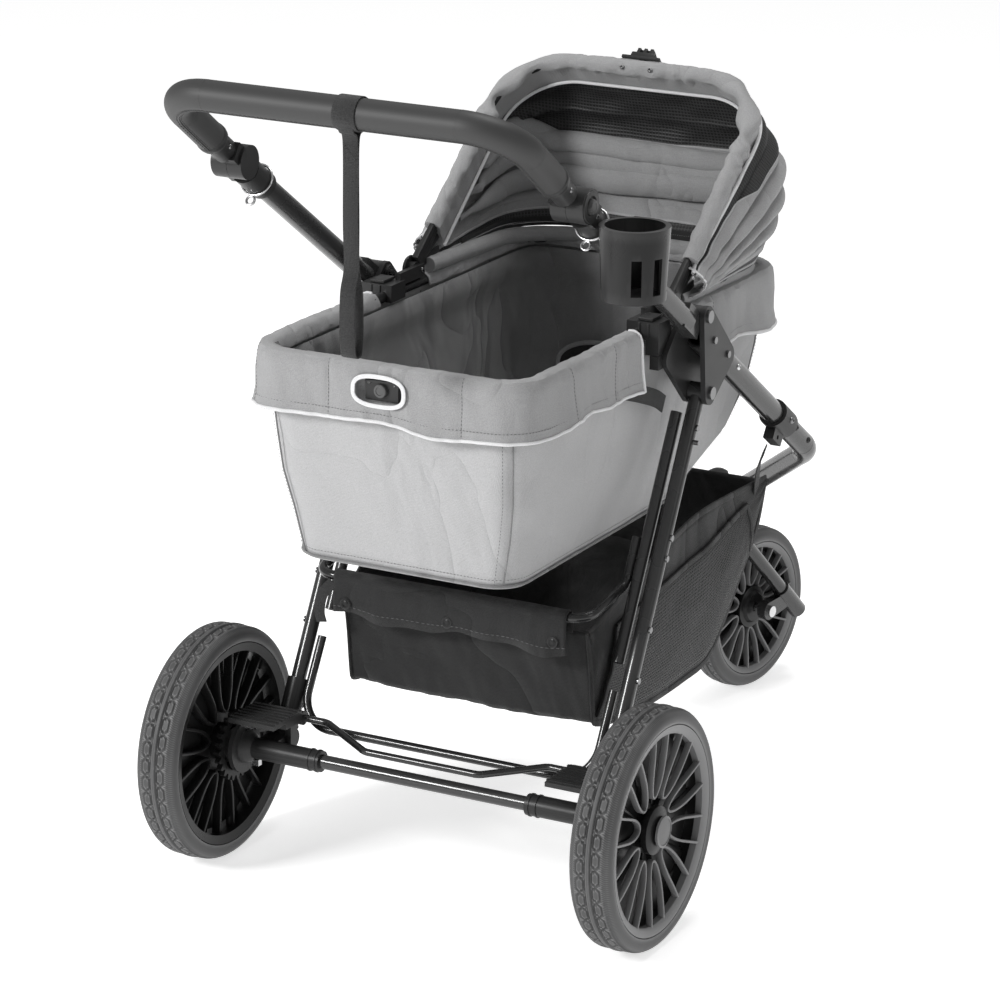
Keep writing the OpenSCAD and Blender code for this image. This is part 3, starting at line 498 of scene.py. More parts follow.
THREAD_DARK = Cloth("dark_thread", grey(0.012), grey(0.03), "grip_leather", 0.6, 0.0006)
NET = Net("window_net", grey(0.02), grey(0.05), "basket_fabric", 0.5, 0.0046, 0.5, 0.94)
POCKET_NET = Net("pocket_net", grey(0.025), grey(0.06), "basket_fabric", 0.6, 0.0044, 0.6, 0.6)
# Dark tone: painted shade in the pebble crevices; light tone: painted highlight on the pebble tops.
GRIP = Leather("grip_leather", grey(0.001), grey(0.022), "grip_leather", 0.3)
PAINT = Moulded("frame_paint", grey(0.010), grey(0.016), "frame_tube", 0.26, 1400.0, 0.00004, 0.3, 0.05, 0.0,
                0.3)
PLASTIC = Moulded("fitting_plastic", grey(0.008), grey(0.014), "bracket_plastic", 0.38, shine=0.3)
SOFT_PLASTIC = Moulded("cup_plastic", grey(0.009), grey(0.014), "bracket_plastic", 0.32, 1200.0, 0.00008,
                       shine=0.3)
STEEL = Moulded("plated_steel", grey(0.55), grey(0.68), "steel", 0.22, 1600.0, 0.00002, 0.1, 0.03, 1.0)
DARK_STEEL = Moulded("blackened_steel", grey(0.12), grey(0.17), "steel", 0.28, 1600.0, 0.00002, 0.3, 0.03,
                     1.0)
RIM_GREY = Moulded("rim_face_grey", grey(0.11), grey(0.15), "rim_plastic", 0.42, 1100.0, 0.0001, 0.3)
RIM_BLACK = Moulded("rim_core_black", grey(0.005), grey(0.009), "rim_plastic", 0.32, 1100.0, 0.0001, 0.1, 0.0,
                    shine=0.25)
FOAM = Moulded("tyre_foam", grey(0.05), grey(0.075), "tyre", 0.55, 700.0, 0.0002, 0.9, 0.1)
BUTTON = Moulded("button_plastic", grey(0.03), grey(0.045), "button_plastic", 0.4)


# ---------- mesh tools ----------


def piece(name: str, points: np.ndarray, faces: list, finish: Finish,
          sharp: float = 40.0) -> bpy.types.Object:
    """A mesh object with its finish.

    Args:
        name: the piece's name.
        points: its points in metres, one row each.
        faces: lists of point numbers.
        finish: its finish.
        sharp: edges over this angle, in degrees, stay sharp.

    Returns:
        The object, in the scene.
    """
    mesh = bpy.data.meshes.new(name)
    mesh.from_pydata(np.asarray(points, float).reshape(-1, 3).tolist(), [], faces)
    made = bmesh.new()
    made.from_mesh(mesh)
    bmesh.ops.recalc_face_normals(made, faces=made.faces)
    made.to_mesh(mesh)
    made.free()
    mesh.shade_smooth()
    mesh.set_sharp_from_angle(angle=math.radians(sharp))
    mesh.materials.append(finish.material())
    thing = add_object(name, mesh)
    return thing


def grid_faces(rows: int, columns: int, wrap_rows: bool, wrap_columns: bool, start: int = 0) -> list:
    """The four-sided faces of a grid of points, row by row."""
    i, j = np.meshgrid(np.arange(rows if wrap_rows else rows - 1),
                       np.arange(columns if wrap_columns else columns - 1), indexing="ij")
    i2, j2 = (i + 1) % rows, (j + 1) % columns
    quads = np.stack([i * columns + j, i * columns + j2, i2 * columns + j2, i2 * columns + j], -1)
    return (quads.reshape(-1, 4) + start).tolist()


def loft(name: str, grid: np.ndarray, finish: Finish, wrap: bool = True, loop: bool = False,
         caps: bool = True, mapped: bool = False, sharp: float = 40.0) -> bpy.types.Object:
    """A skin over rings of points.

    Args:
        name: the piece's name.
        grid: rings by points by three.
        finish: its finish.
        wrap: whether each ring closes on itself.
        loop: whether the last ring joins the first.
        caps: whether flat faces close the ends of a wrapped skin.
        mapped: whether it gets a map in metres, for a net.
        sharp: the angle over which edges stay sharp.

    Returns:
        The piece.
    """
    rows, columns = grid.shape[:2]
    faces = grid_faces(rows, columns, loop, wrap)
    if wrap and caps and not loop:
        faces += [list(range(columns))[::-1], list(range((rows - 1) * columns, rows * columns))]
    thing = piece(name, grid, faces, finish, sharp)
    if mapped:
        across = np.linalg.norm(np.diff(grid[rows // 2], axis=0), axis=1)
        along = np.linalg.norm(np.diff(grid[:, columns // 2], axis=0), axis=1)
        u, v = np.concatenate([[0], np.cumsum(across)]), np.concatenate([[0], np.cumsum(along)])
        layer = thing.data.uv_layers.new(name="UVMap")
        corner = np.array([loop_.vertex_index for loop_ in thing.data.loops])
        layer.data.foreach_set("uv", np.stack([u[corner % columns], v[corner // columns]], 1).ravel())
    return thing


def outward_of(run: np.ndarray, closed: bool) -> np.ndarray:
    """Level directions out of a plan outline that runs anticlockwise."""
    ahead = tangents(run, closed)
    return np.stack([ahead[:, 1], -ahead[:, 0], np.zeros(len(ahead))], 1)


def tangents(path: np.ndarray, closed: bool) -> np.ndarray:
    """Unit directions along a path."""
    if closed:
        step = np.roll(path, -1, 0) - np.roll(path, 1, 0)
    else:
        step = np.gradient(path, axis=0)
    return step / np.linalg.norm(step, axis=1)[:, None]


def sweep(name: str, path: np.ndarray, profile: np.ndarray, finish: Finish, closed: bool = False,
          side: Optional[np.ndarray] = None, size: Optional[np.ndarray] = None,
          sharp: float = 40.0) -> bpy.types.Object:
    """A bar of one profile along a path.

    Args:
        name: the piece's name.
        path: the centre line's points.
        profile: the section's points, along the side and across it.
        finish: its finish.
        closed: whether the path closes on itself.
        side: the direction of the profile's first axis, or None to carry it along without twist.
        size: the profile's scale at each point.
        sharp: the angle over which edges stay sharp.

    Returns:
        The piece.
    """
    ahead = tangents(path, closed)
    if side is None:
        sides = [axes_about(ahead[0])[0]]
        for direction in ahead[1:]:
            turned = sides[-1] - (sides[-1] @ direction) * direction
            sides.append(turned / np.linalg.norm(turned))
        sides = np.array(sides)
    else:
        sides = np.broadcast_to(side, path.shape) - (ahead @ side if side.ndim == 1 else
                                                     (ahead * side).sum(1))[:, None] * ahead
        sides = sides / np.linalg.norm(sides, axis=1)[:, None]
    other = np.cross(ahead, sides)
    scale = np.ones(len(path)) if size is None else size
    grid = path[:, None] + scale[:, None, None] * (profile[None, :, :1] * sides[:, None]
                                                   + profile[None, :, 1:] * other[:, None])
    return loft(name, grid, finish, True, closed, sharp=sharp)


def circle(radius: float, count: int = 10) -> np.ndarray:
    """A round profile."""
    turn = np.linspace(0, 2 * math.pi, count, endpoint=False)
    return radius * np.stack([np.cos(turn), np.sin(turn)], 1)


def bar(width: float, depth: float, corner: float, steps: int = 2) -> np.ndarray:
    """A rectangular profile with rounded corners."""
    points = []
    for sx, sy, first in ((1, 1, 0), (-1, 1, 90), (-1, -1, 180), (1, -1, 270)):
        for k in range(steps + 1):
            a = math.radians(first + 90 * k / steps)
            points.append((sx * (width / 2 - corner) + corner * math.cos(a),
                           sy * (depth / 2 - corner) + corner * math.sin(a)))
    return np.array(points)


def resample(path: np.ndarray, step: float) -> np.ndarray:
    """A path's points again, evenly spaced."""
    length = np.concatenate([[0], np.cumsum(np.linalg.norm(np.diff(path, axis=0), axis=1))])
    places = np.linspace(0, length[-1], max(3, round(length[-1] / step) + 1))
    return np.stack([np.interp(places, length, path[:, k]) for k in range(3)], 1)


def curve_through(points: Sequence, step: float = 0.004) -> np.ndarray:
    """A smooth path through given points.

    Args:
        points: the points in order.
        step: the spacing of the path's own points.

    Returns:
        The path's points, one row each.
    """
    p = np.array(points, float)
    p = np.concatenate([[2 * p[0] - p[1]], p, [2 * p[-1] - p[-2]]])
    made = []
    for a, b, c, d in zip(p, p[1:], p[2:], p[3:]):
        for t in np.linspace(0, 1, 12, endpoint=False):
            made.append(0.5 * (2 * b + (c - a) * t + (2 * a - 5 * b + 4 * c - d) * t * t
                               + (3 * b - a - 3 * c + d) * t ** 3))
    made.append(p[-2])
    return resample(np.array(made), step)


def stitches(name: str, path: np.ndarray, finish: Finish, length: float = 0.0032, gap: float = 0.0014,
             radius: float = 0.00045) -> bpy.types.Object:
    """A row of separate thread stitches along a path.

    Args:
        name: the piece's name.
        path: the line they follow.
        finish: the thread.
        length: one stitch's length.
        gap: the space to the next.
        radius: the thread's radius.

    Returns:
        The piece.
    """
    run = resample(path, (length + gap) / 3)
    points, faces = [], []
    for a, b in zip(run[::3], run[2::3]):
        direction = (b - a) / max(np.linalg.norm(b - a), 1e-9)
        side, other = axes_about(direction)
        ring = np.array([side, other, -side, -other]) * radius
        start = len(points)
        points += [a + 0.3 * r for r in ring] + [(a + b) / 2 + r for r in ring] + [b + 0.3 * r for r in ring]
        faces += grid_faces(3, 4, False, True, start) + [[start + k for k in (3, 2, 1, 0)],
                                                         [start + k for k in (8, 9, 10, 11)]]
    return piece(name, np.array(points), faces, finish)


def axes_about(axis: np.ndarray) -> tuple:
    """Two unit directions square to an axis."""
    one = np.cross(axis, UP if abs(axis[2]) < UPRIGHT else RIGHT)
    one = one / np.linalg.norm(one)
    return one, np.cross(axis, one)


def lathe(name: str, centre: np.ndarray, axis: np.ndarray, outline: Sequence[tuple], finish: Finish,
          count: int = 48, closed: bool = False, sharp: float = 35.0) -> bpy.types.Object:
    """A turned piece.

    Args:
        name: the piece's name.
        centre: where the axis starts.
        axis: its unit direction.
        outline: (radius, distance along the axis) of each point.
        finish: its finish.
        count: how many points go round.
        closed: whether the outline joins its own start.
        sharp: the angle over which edges stay sharp.

    Returns:
        The piece.
    """
    one, two = axes_about(axis)
    turn = np.linspace(0, 2 * math.pi, count, endpoint=False)
    round_ = np.cos(turn)[:, None] * one + np.sin(turn)[:, None] * two
    grid = np.array([centre + r * round_ + x * axis for r, x in outline])
    return loft(name, grid, finish, True, closed, sharp=sharp)


def screw(name: str, centre: np.ndarray, axis: np.ndarray, radius: float, body: str,
          finish: Finish = DARK_STEEL) -> bpy.types.Object:
    """A domed screw or rivet head with a socket.

    Args:
        name: the piece's name.
        centre: a point on the surface it sits on.
        axis: the way that surface faces.
        radius: the head's radius.
        body: the body it rides on.
        finish: its finish.

    Returns:
        The piece.
    """
    r = radius
    outline = [(r, -0.3 * r), (r, 0.1 * r), (0.85 * r, 0.35 * r), (0.55 * r, 0.5 * r), (0.42 * r, 0.5 * r),
               (0.38 * r, 0.1 * r), (0.05 * r, 0.05 * r)]
    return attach(lathe(name, centre, axis, outline, finish, 18), body)


def solid_box(name: str, low: Sequence, high: Sequence, finish: Finish, bevel: float = 0.0012,
              turn: Optional[Matrix] = None) -> bpy.types.Object:
    """A moulded block with rounded edges.

    Args:
        name: the piece's name.
        low: one corner.
        high: the corner across from it.
        finish: its finish.
        bevel: the edges' radius.
        turn: a turn about its middle, if any.

    Returns:
        The piece.
    """
    low, high = np.minimum(low, high), np.maximum(low, high)
    made = bmesh.new()
    bmesh.ops.create_cube(made, size=1.0)
    bmesh.ops.scale(made, vec=Vector(high - low), verts=made.verts)
    bmesh.ops.bevel(made, geom=made.edges[:], offset=bevel, segments=2, profile=0.6, affect="EDGES")
    if turn is not None:
        bmesh.ops.transform(made, matrix=turn, verts=made.verts)
    points = np.array([v.co for v in made.verts]) + (low + high) / 2
    faces = [[v.index for v in f.verts] for f in made.faces]
    made.free()
    return piece(name, points, faces, finish)


def waves(u: np.ndarray, v: np.ndarray, seed: int, fine: float = 1.0, count: int = 7) -> np.ndarray:
    """Soft creases from crossed waves.

    Args:
        u: places along the cloth.
        v: places across it.
        seed: the start of the random draws.
        fine: how close the creases lie.
        count: how many waves are summed.

    Returns:
        Heights between about -1 and 1.
    """
    rng = np.random.default_rng(seed)
    total = np.zeros(np.broadcast(u, v).shape)
    for k in range(count):
        angle, phase = rng.uniform(0, math.pi), rng.uniform(0, 2 * math.pi)
        pace = fine * (1.0 + 1.7 * k)
        total = total + np.sin(pace * (u * math.cos(angle) + v * math.sin(angle)) + phase) / (1 + 0.6 * k)
    return total / 2.6


def thicken(thing: bpy.types.Object, depth: float, offset: float = 0.0) -> bpy.types.Object:
    """Gives a sheet its thickness."""
    made = thing.modifiers.new("thickness", "SOLIDIFY")
    made.thickness, made.offset = depth, offset
    return thing


def settle(thing: bpy.types.Object) -> None:
    """Applies every modifier, so that the mesh is final."""
    graph = bpy.context.evaluated_depsgraph_get()
    mesh = bpy.data.meshes.new_from_object(thing.evaluated_get(graph))
    thing.modifiers.clear()
    thing.data = mesh


def cut(thing: bpy.types.Object, cutter: bpy.types.Object) -> None:
    """Cuts one closed piece out of another and removes the cutter."""
    made = thing.modifiers.new("cut", "BOOLEAN")
    made.operation, made.solver, made.object = "DIFFERENCE", "EXACT", cutter
    settle(thing)
    bpy.data.objects.remove(cutter)


# ---------- wheels ----------


@dataclass
class Wheel:
    """A foam tyre on a moulded rim of leaf-shaped spoke loops."""

    side: str
    body: str
    tyre_node: str
    rim_node: str
    outward: np.ndarray
    radius: float
    width: float
    centre: np.ndarray
    tyre_depth: float = 0.020
    blocks: int = 42
    loops: int = 10
    drum: bool = True

    def tyre(self) -> bpy.types.Object:
        """Tyre with a centre rib, hexagon tread and knurled shoulders."""
        per_block = 16
        turns = self.blocks * per_block
        half, crown = self.width / 2, 0.014
        inner = self.radius - self.tyre_depth
        flat = half - crown
        across = [(-half + 0.002, inner), (-half + 0.0005, inner + 0.0035)]
        arc = np.linspace(0, math.pi / 2, 9)
        across += [(-half + crown * (1 - math.cos(a)), self.radius - crown + crown * math.sin(a))
                   for a in arc]
        across += [(x, self.radius) for x in np.linspace(-flat, flat, 27)[1:-1]]
        across += [(-x, r) for x, r in across[10::-1]]
        x, r = np.array(across).T
        run = np.concatenate([[0], np.cumsum(np.hypot(np.diff(x), np.diff(r)))])
        lateral = np.abs(run - run[-1] / 2) / MM
        turn = np.arange(turns) / turns * self.blocks
        stagger = np.where(x < 0, 0.5, 0.0)
        cell = (turn[:, None] + stagger[None]) % 1.0 - 0.5
        tread = flat / MM + 2.0
        middle, reach = 0.5 * (3.8 + tread), 0.5 * (tread - 3.8)
        up = (lateral[None] - middle) / reach
        hexagon = np.maximum(np.abs(up), 1.55 * np.abs(cell) + 0.42 * np.abs(up))
        dent = -2.0 * np.exp(-((hexagon - 0.74) / 0.10) ** 2) * (np.abs(up) < 1.02)
        chevron = np.abs(np.abs(cell) * 2.0 - 0.55 - 0.45 * (1 - (up + 1) / 1.2))
        dent -= 1.6 * np.exp(-(chevron / 0.12) ** 2) * ((up > -1) & (up < -0.15))
        dent += np.where(lateral[None] < 2.4, 1.0, 0.0) - 1.4 * np.exp(-((lateral[None] - 3.3) / 0.8) ** 2)
        knurl = (np.arange(turns) % 2 < 1)[:, None] * np.exp(-((lateral[None] - tread - 4.0) / 2.4) ** 6)
        dent -= 0.9 * knurl
        dent *= MM
        normal = np.stack([np.gradient(r), -np.gradient(x)], 1)
        normal = -normal / np.linalg.norm(normal, axis=1)[:, None]
        dent[:, lateral > tread + 8] = 0
        dent = dent - dent.max()
        xs, rs = x[None] + normal[None, :, 0] * dent, r[None] + normal[None, :, 1] * dent
        one, two = axes_about(self.outward)
        angle = np.arange(turns) / turns * 2 * math.pi
        spoke = np.cos(angle)[:, None] * one + np.sin(angle)[:, None] * two
        grid = self.centre + xs[..., None] * self.outward + rs[..., None] * spoke[:, None]
        thing = loft(self.side + "_tyre", grid, FOAM, True, True, sharp=60)
        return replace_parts(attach(thing, self.body), self.tyre_node)

    def rim(self) -> None:
        """Grey face with spoke loops, black barrel, leaves and hub."""
        inner, half = self.radius - self.tyre_depth + 0.0002, self.width / 2
        ring = 0.012 * self.radius / 0.15
        lip = inner - ring
        face = lathe(self.side + "_rim_ring", self.centre, self.outward,
                     [(inner, half - 0.006), (inner - 0.001, half - 0.003), (lip + 0.003, half - 0.0045),
                      (lip, half - 0.0075), (lip, half - 0.016), (inner - 0.001, half - 0.018),
                      (inner, half - 0.018)], RIM_GREY, 128, True)
        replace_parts(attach(face, self.body), self.rim_node)
        barrel = lathe(self.side + "_rim_barrel", self.centre, self.outward,
                       [(inner, half - 0.018), (lip + 0.001, half - 0.0165), (lip + 0.002, 0),
                        (lip, 0.006 - half),
                        (inner - 0.001, 0.003 - half), (inner, 0.004 - half)], RIM_BLACK, 128, True)
        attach(barrel, self.body)
        one, two = axes_about(self.outward)
        tip, spread = self.radius * 0.27, 0.47 * math.pi / self.loops

        def place(r: np.ndarray, a: np.ndarray, x: np.ndarray) -> np.ndarray:
            """Points at a radius, a turn and a distance outward."""
            return (self.centre + (r * np.cos(a))[:, None] * one + (r * np.sin(a))[:, None] * two
                    + np.asarray(x)[:, None] * self.outward)

        t = np.concatenate([-np.linspace(1, 0, 30) ** 1.6, (np.linspace(0, 1, 30) ** 1.6)[1:]])
        s = np.abs(t)
        r = tip + (lip + 0.002 - tip) * s
        wide = self.radius * (0.082 * np.sqrt(1 - (1 - np.minimum(s / 0.55, 1)) ** 2) + 0.030 * s)
        bow = np.sign(t) * wide / r
        dish = half - 0.010 - 0.008 * (1 - s) ** 1.5
        for k in range(self.loops):
            turn = 2 * math.pi * (k + 0.5) / self.loops
            loop = sweep(f"{self.side}_spoke_loop_{k}", place(r, turn + bow, dish),
                         bar(0.008, 0.0032, 0.0008),
                         RIM_GREY, side=self.outward)
            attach(loop, self.body)
            rib = sweep(f"{self.side}_back_rib_{k}", place(r, turn + bow, np.full(len(r), half - 0.038)),
                        bar(0.012, 0.0040, 0.0008), RIM_BLACK, side=self.outward)
            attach(rib, self.body)
            share = np.linspace(0, 1, 14)
            leaf_r = 0.2 * self.radius + (lip - 0.2 * self.radius + 0.001) * share
            leaf_w = (0.3 + 0.3 * share) * spread
            edge = [place(leaf_r, turn + math.pi / self.loops + w * leaf_w,
                          np.full(14, half - 0.022 - 0.005 * abs(w)))
                    for w in (-1, -0.35, 0.35, 1)]
            back = [e - 0.003 * self.outward for e in edge[::-1]]
            leaf = loft(f"{self.side}_leaf_{k}", np.stack(edge + back, 1), RIM_BLACK)
            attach(leaf, self.body)
        back = lathe(self.side + "_rim_dish", self.centre, self.outward,
                     [(0.021, half - 0.033), (lip - 0.0035, half - 0.030), (lip - 0.0035, half - 0.0275),
                      (0.021, half - 0.030)], RIM_BLACK, 96, True)
        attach(back, self.body)
        hub = 0.022 + 0.002
        outline = [(0.006, 0.004 - half), (hub - 0.003, 0.004 - half), (hub, 0.008 - half),
                   (hub, half - 0.02),
                   (hub + 0.006, half - 0.018), (hub + 0.006, half - 0.012),
                   (0.2 * self.radius, half - 0.011),
                   (hub - 0.004, half - 0.0065), (0.006, half - 0.0062)]
        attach(lathe(self.side + "_hub", self.centre, self.outward, outline, RIM_BLACK, 64, True), self.body)
        if self.drum:
            self.toothed_drum(half)

    def toothed_drum(self, half: float) -> None:
        """The ring on the inner side that the brake pin drops into.

        Args:
            half: half the wheel's width.
        """
        one, two = axes_about(self.outward)
        teeth = 24
        turn = np.arange(teeth * 4) / (teeth * 4) * 2 * math.pi
        tooth = np.where(np.arange(teeth * 4) % 4 < 2, 0.046, 0.040)
        spoke = np.cos(turn)[:, None] * one + np.sin(turn)[:, None] * two
        rings = [(0.033, -half - 0.0034), (None, -half - 0.0034), (None, -half + 0.004),
                 (0.035, -half + 0.006)]
        grid = np.array([self.centre + (tooth if r is None else np.full(len(turn), r))[:, None] * spoke
                         + x * self.outward for r, x in rings])
        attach(loft(self.side + "_drum", grid, RIM_BLACK, True, True, sharp=25), self.body)


def build_wheels() -> None:
    """The two rear wheels and the front one, with hub details."""
    fork_axis = np.array(next(j["axis"] for j in frame["joints"] if j["name"] == "front_wheel_spin"))
    for side, sign in SIDES:
        low, high = (np.array(c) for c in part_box("tyre_" + side))
        wheel = Wheel(side, "wheel_" + side, "tyre_" + side, "rim_" + side, sign * RIGHT,
                      (high[2] - low[2]) / 2,
                      high[0] - low[0], (low + high) / 2)
        wheel.tyre()
        wheel.rim()
        edge = (low + high) / 2 + sign * RIGHT * ((high[0] - low[0]) / 2 + 0.0002)
        cap = lathe(side + "_hub_disc", edge, sign * RIGHT, [(0.0195, -0.004), (0.0195, -0.001), (0.017, 0.0),
                    (0.0165, -0.0008), (0.003, -0.0002), (0.0005, -0.0002)], RIM_GREY, 48)
        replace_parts(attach(cap, "wheel_" + side), "hub_cap_" + side)
    centre = joint_point("front_wheel_spin")
    radius = centre[2]
    front = Wheel("front", "front_wheel", "front_tyre", "front_rim", fork_axis / np.linalg.norm(fork_axis),
                  radius,
                  0.048, centre, blocks=34, drum=False)
    front.tyre()
    front.rim()


# ---------- handle ----------


@dataclass
class Handle:
    """Leather grip seam, screws on the angle hinges and the wrist strap."""

    tilt: float = math.radians(35.5)
    reach: float = 0.193
    half: float = 0.225
    bend: float = 0.060
    grip: float = 0.0185
    grip_start: float = 0.060
    hub_half: float = 0.0150
    strap_x: float = 0.025
    strap_width: float = 0.020
    strap_drop: float = 0.282
    hinge: np.ndarray = field(default_factory=lambda: joint_point("handle_angle"))

    def place(self, x: float, out: float) -> np.ndarray:
        """A point in the handle's plane, by its distance out from the hinge line."""
        return np.array([x, self.hinge[1] - out * math.cos(self.tilt),
                         self.hinge[2] + out * math.sin(self.tilt)])

    def centre_line(self) -> np.ndarray:
        """The grip's centre line, from the left end round to the right."""
        r, points = self.bend, [self.place(-self.half, self.grip_start)]
        for a in np.linspace(0, math.pi / 2, 20):
            points.append(self.place(-self.half + r * (1 - math.cos(a)), self.reach - r + r * math.sin(a)))
        for a in np.linspace(math.pi / 2, 0, 20):
            points.append(self.place(self.half - r * (1 - math.cos(a)), self.reach - r + r * math.sin(a)))
        points.append(self.place(self.half, self.grip_start))
        return resample(np.array(points), 0.003)

    def seam(self) -> None:
        """Welt and two rows of stitches under the grip."""
        line = self.centre_line()
        ahead = tangents(line, False)
        normal = np.array([0.0, -math.sin(self.tilt), -math.cos(self.tilt)])
        outward = np.cross(ahead, normal)
        down = normal + 0.25 * outward
        down = down / np.linalg.norm(down, axis=1)[:, None]
        welt = sweep("grip_seam", line + (self.grip + 0.0001) * down, circle(0.0009, 8), GRIP)
        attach(welt, "handlebar")
        for k, lean in enumerate((-0.16, 0.16)):
            side = down + lean * outward
            side = side / np.linalg.norm(side, axis=1)[:, None]
            row = stitches(f"grip_stitches_{k}", line + (self.grip + 0.0002) * side, THREAD_DARK, 0.0038,
                           0.0018, 0.0006)
            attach(row, "handlebar")
        for k, out in enumerate((line[0], line[-1])):
            along = ahead[0] if k == 0 else ahead[-1]
            cuff = lathe(f"grip_cuff_{k}", out, along * (1 if k == 0 else -1),
                         [(self.grip + 0.0003, 0.0), (self.grip + 0.0008, 0.002), (self.grip + 0.0008, 0.007),
                          (self.grip + 0.0002, 0.0085), (self.grip - 0.002, 0.004)], PLASTIC, 48, True)
            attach(cuff, "handlebar")

    def fittings(self) -> None:
        """Screws on the hinge halves and sleeves, bezels round the hinges and caps on the buttons."""
        for side, sign in SIDES:
            x = sign * self.half
            outward = sign * RIGHT
            for name, face in (("_hub_screw", outward), ("_hub_inner_screw", -outward)):
                screw(side + name, self.place(x, 0.043) + self.hub_half * face, face, 0.0032, "handlebar")
            for k, s in enumerate((0.030, 0.066)):
                spot = self.hinge + DOWN_TUBE * s + np.array([x, 0, 0]) + 0.0180 * outward
                screw(f"{side}_sleeve_screw_{k}", spot, outward, 0.003, "push_frame")
            ring = lathe(side + "_hinge_bezel", self.hinge + np.array([x + sign * 0.022, 0, 0]), outward,
                         [(0.0195, -0.001), (0.0185, 0.0012), (0.0125, 0.0016), (0.0105, 0.0002),
                          (0.0105, -0.001)],
                         PLASTIC, 48, True)
            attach(ring, "push_frame")
            dome = lathe(side + "_button_cap", self.hinge + np.array([x + sign * 0.027, 0, 0]), outward,
                         [(0.0078, -0.0012), (0.0074, 0.0002), (0.005, 0.0004), (0.0045, -0.0002),
                          (0.0003, -0.0004)],
                         BUTTON, 32)
            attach(dome, "button_" + side)

    def strap(self) -> None:
        """Webbing ring round the grip, stitched band and hand loop."""
        top = self.place(self.strap_x, self.reach)
        radius, thick, w = self.grip + 0.0012, 0.0016, self.strap_width
        turn = np.linspace(0, 2 * math.pi, 60, endpoint=False)
        ring = top + radius * (np.cos(turn)[:, None] * UP + np.sin(turn)[:, None] * FORWARD)
        wide = sweep("strap_ring", ring, bar(w * 1.45, thick, 0.0006), WEBBING, True, RIGHT)
        low = top - UP * self.strap_drop
        neck = low + UP * 0.105
        front = curve_through([top - np.array([0, radius, 0.004]), top + np.array([0, -0.011, -0.020]),
                               top + np.array([0, -0.0024, -0.034]), neck + np.array([0, -0.0020, 0.05]),
                               neck,
                               low + np.array([0, -0.0085, 0.075]), low + np.array([0, -0.0098, 0.03]),
                               low + np.array([0, -0.007, 0.005]), low, low + np.array([0, 0.007, 0.005]),
                               low + np.array([0, 0.0098, 0.03]), low + np.array([0, 0.0085, 0.075]),
                               neck + np.array([0, 0.0010, 0.0]), neck + np.array([0, 0.0006, 0.05]),
                               top + np.array([0, 0.0006, -0.034]), top + np.array([0, 0.011, -0.020]),
                               top + np.array([0, radius, -0.004])], 0.003)
        band = sweep("strap_band", front, bar(w, thick, 0.0006), WEBBING, side=RIGHT)
        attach(wide, "strap")
        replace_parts(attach(band, "strap"), "wrist_strap")
        box_top, box_low = top[2] - 0.036, top[2] - 0.052
        y = top[1] - 0.0042
        corners = [(-1, box_top), (1, box_top), (1, box_low), (-1, box_low), (-1, box_top), (1, box_low)]
        path = np.array([[self.strap_x + 0.38 * w * s, y, z] for s, z in corners])
        rows = [stitches(f"strap_stitches_{k}", resample(path[k:k + 2], 0.002), THREAD_DARK)
                for k in range(5)]
        for row in rows:
            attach(row, "strap")


# ---------- carrier ----------


@dataclass(frozen=True)
class Level:
    """One height of the carrier: how far each side stands in from the rim, and its corner radius."""

    rise: float
    back: float
    front: float
    side: float
    corner: float


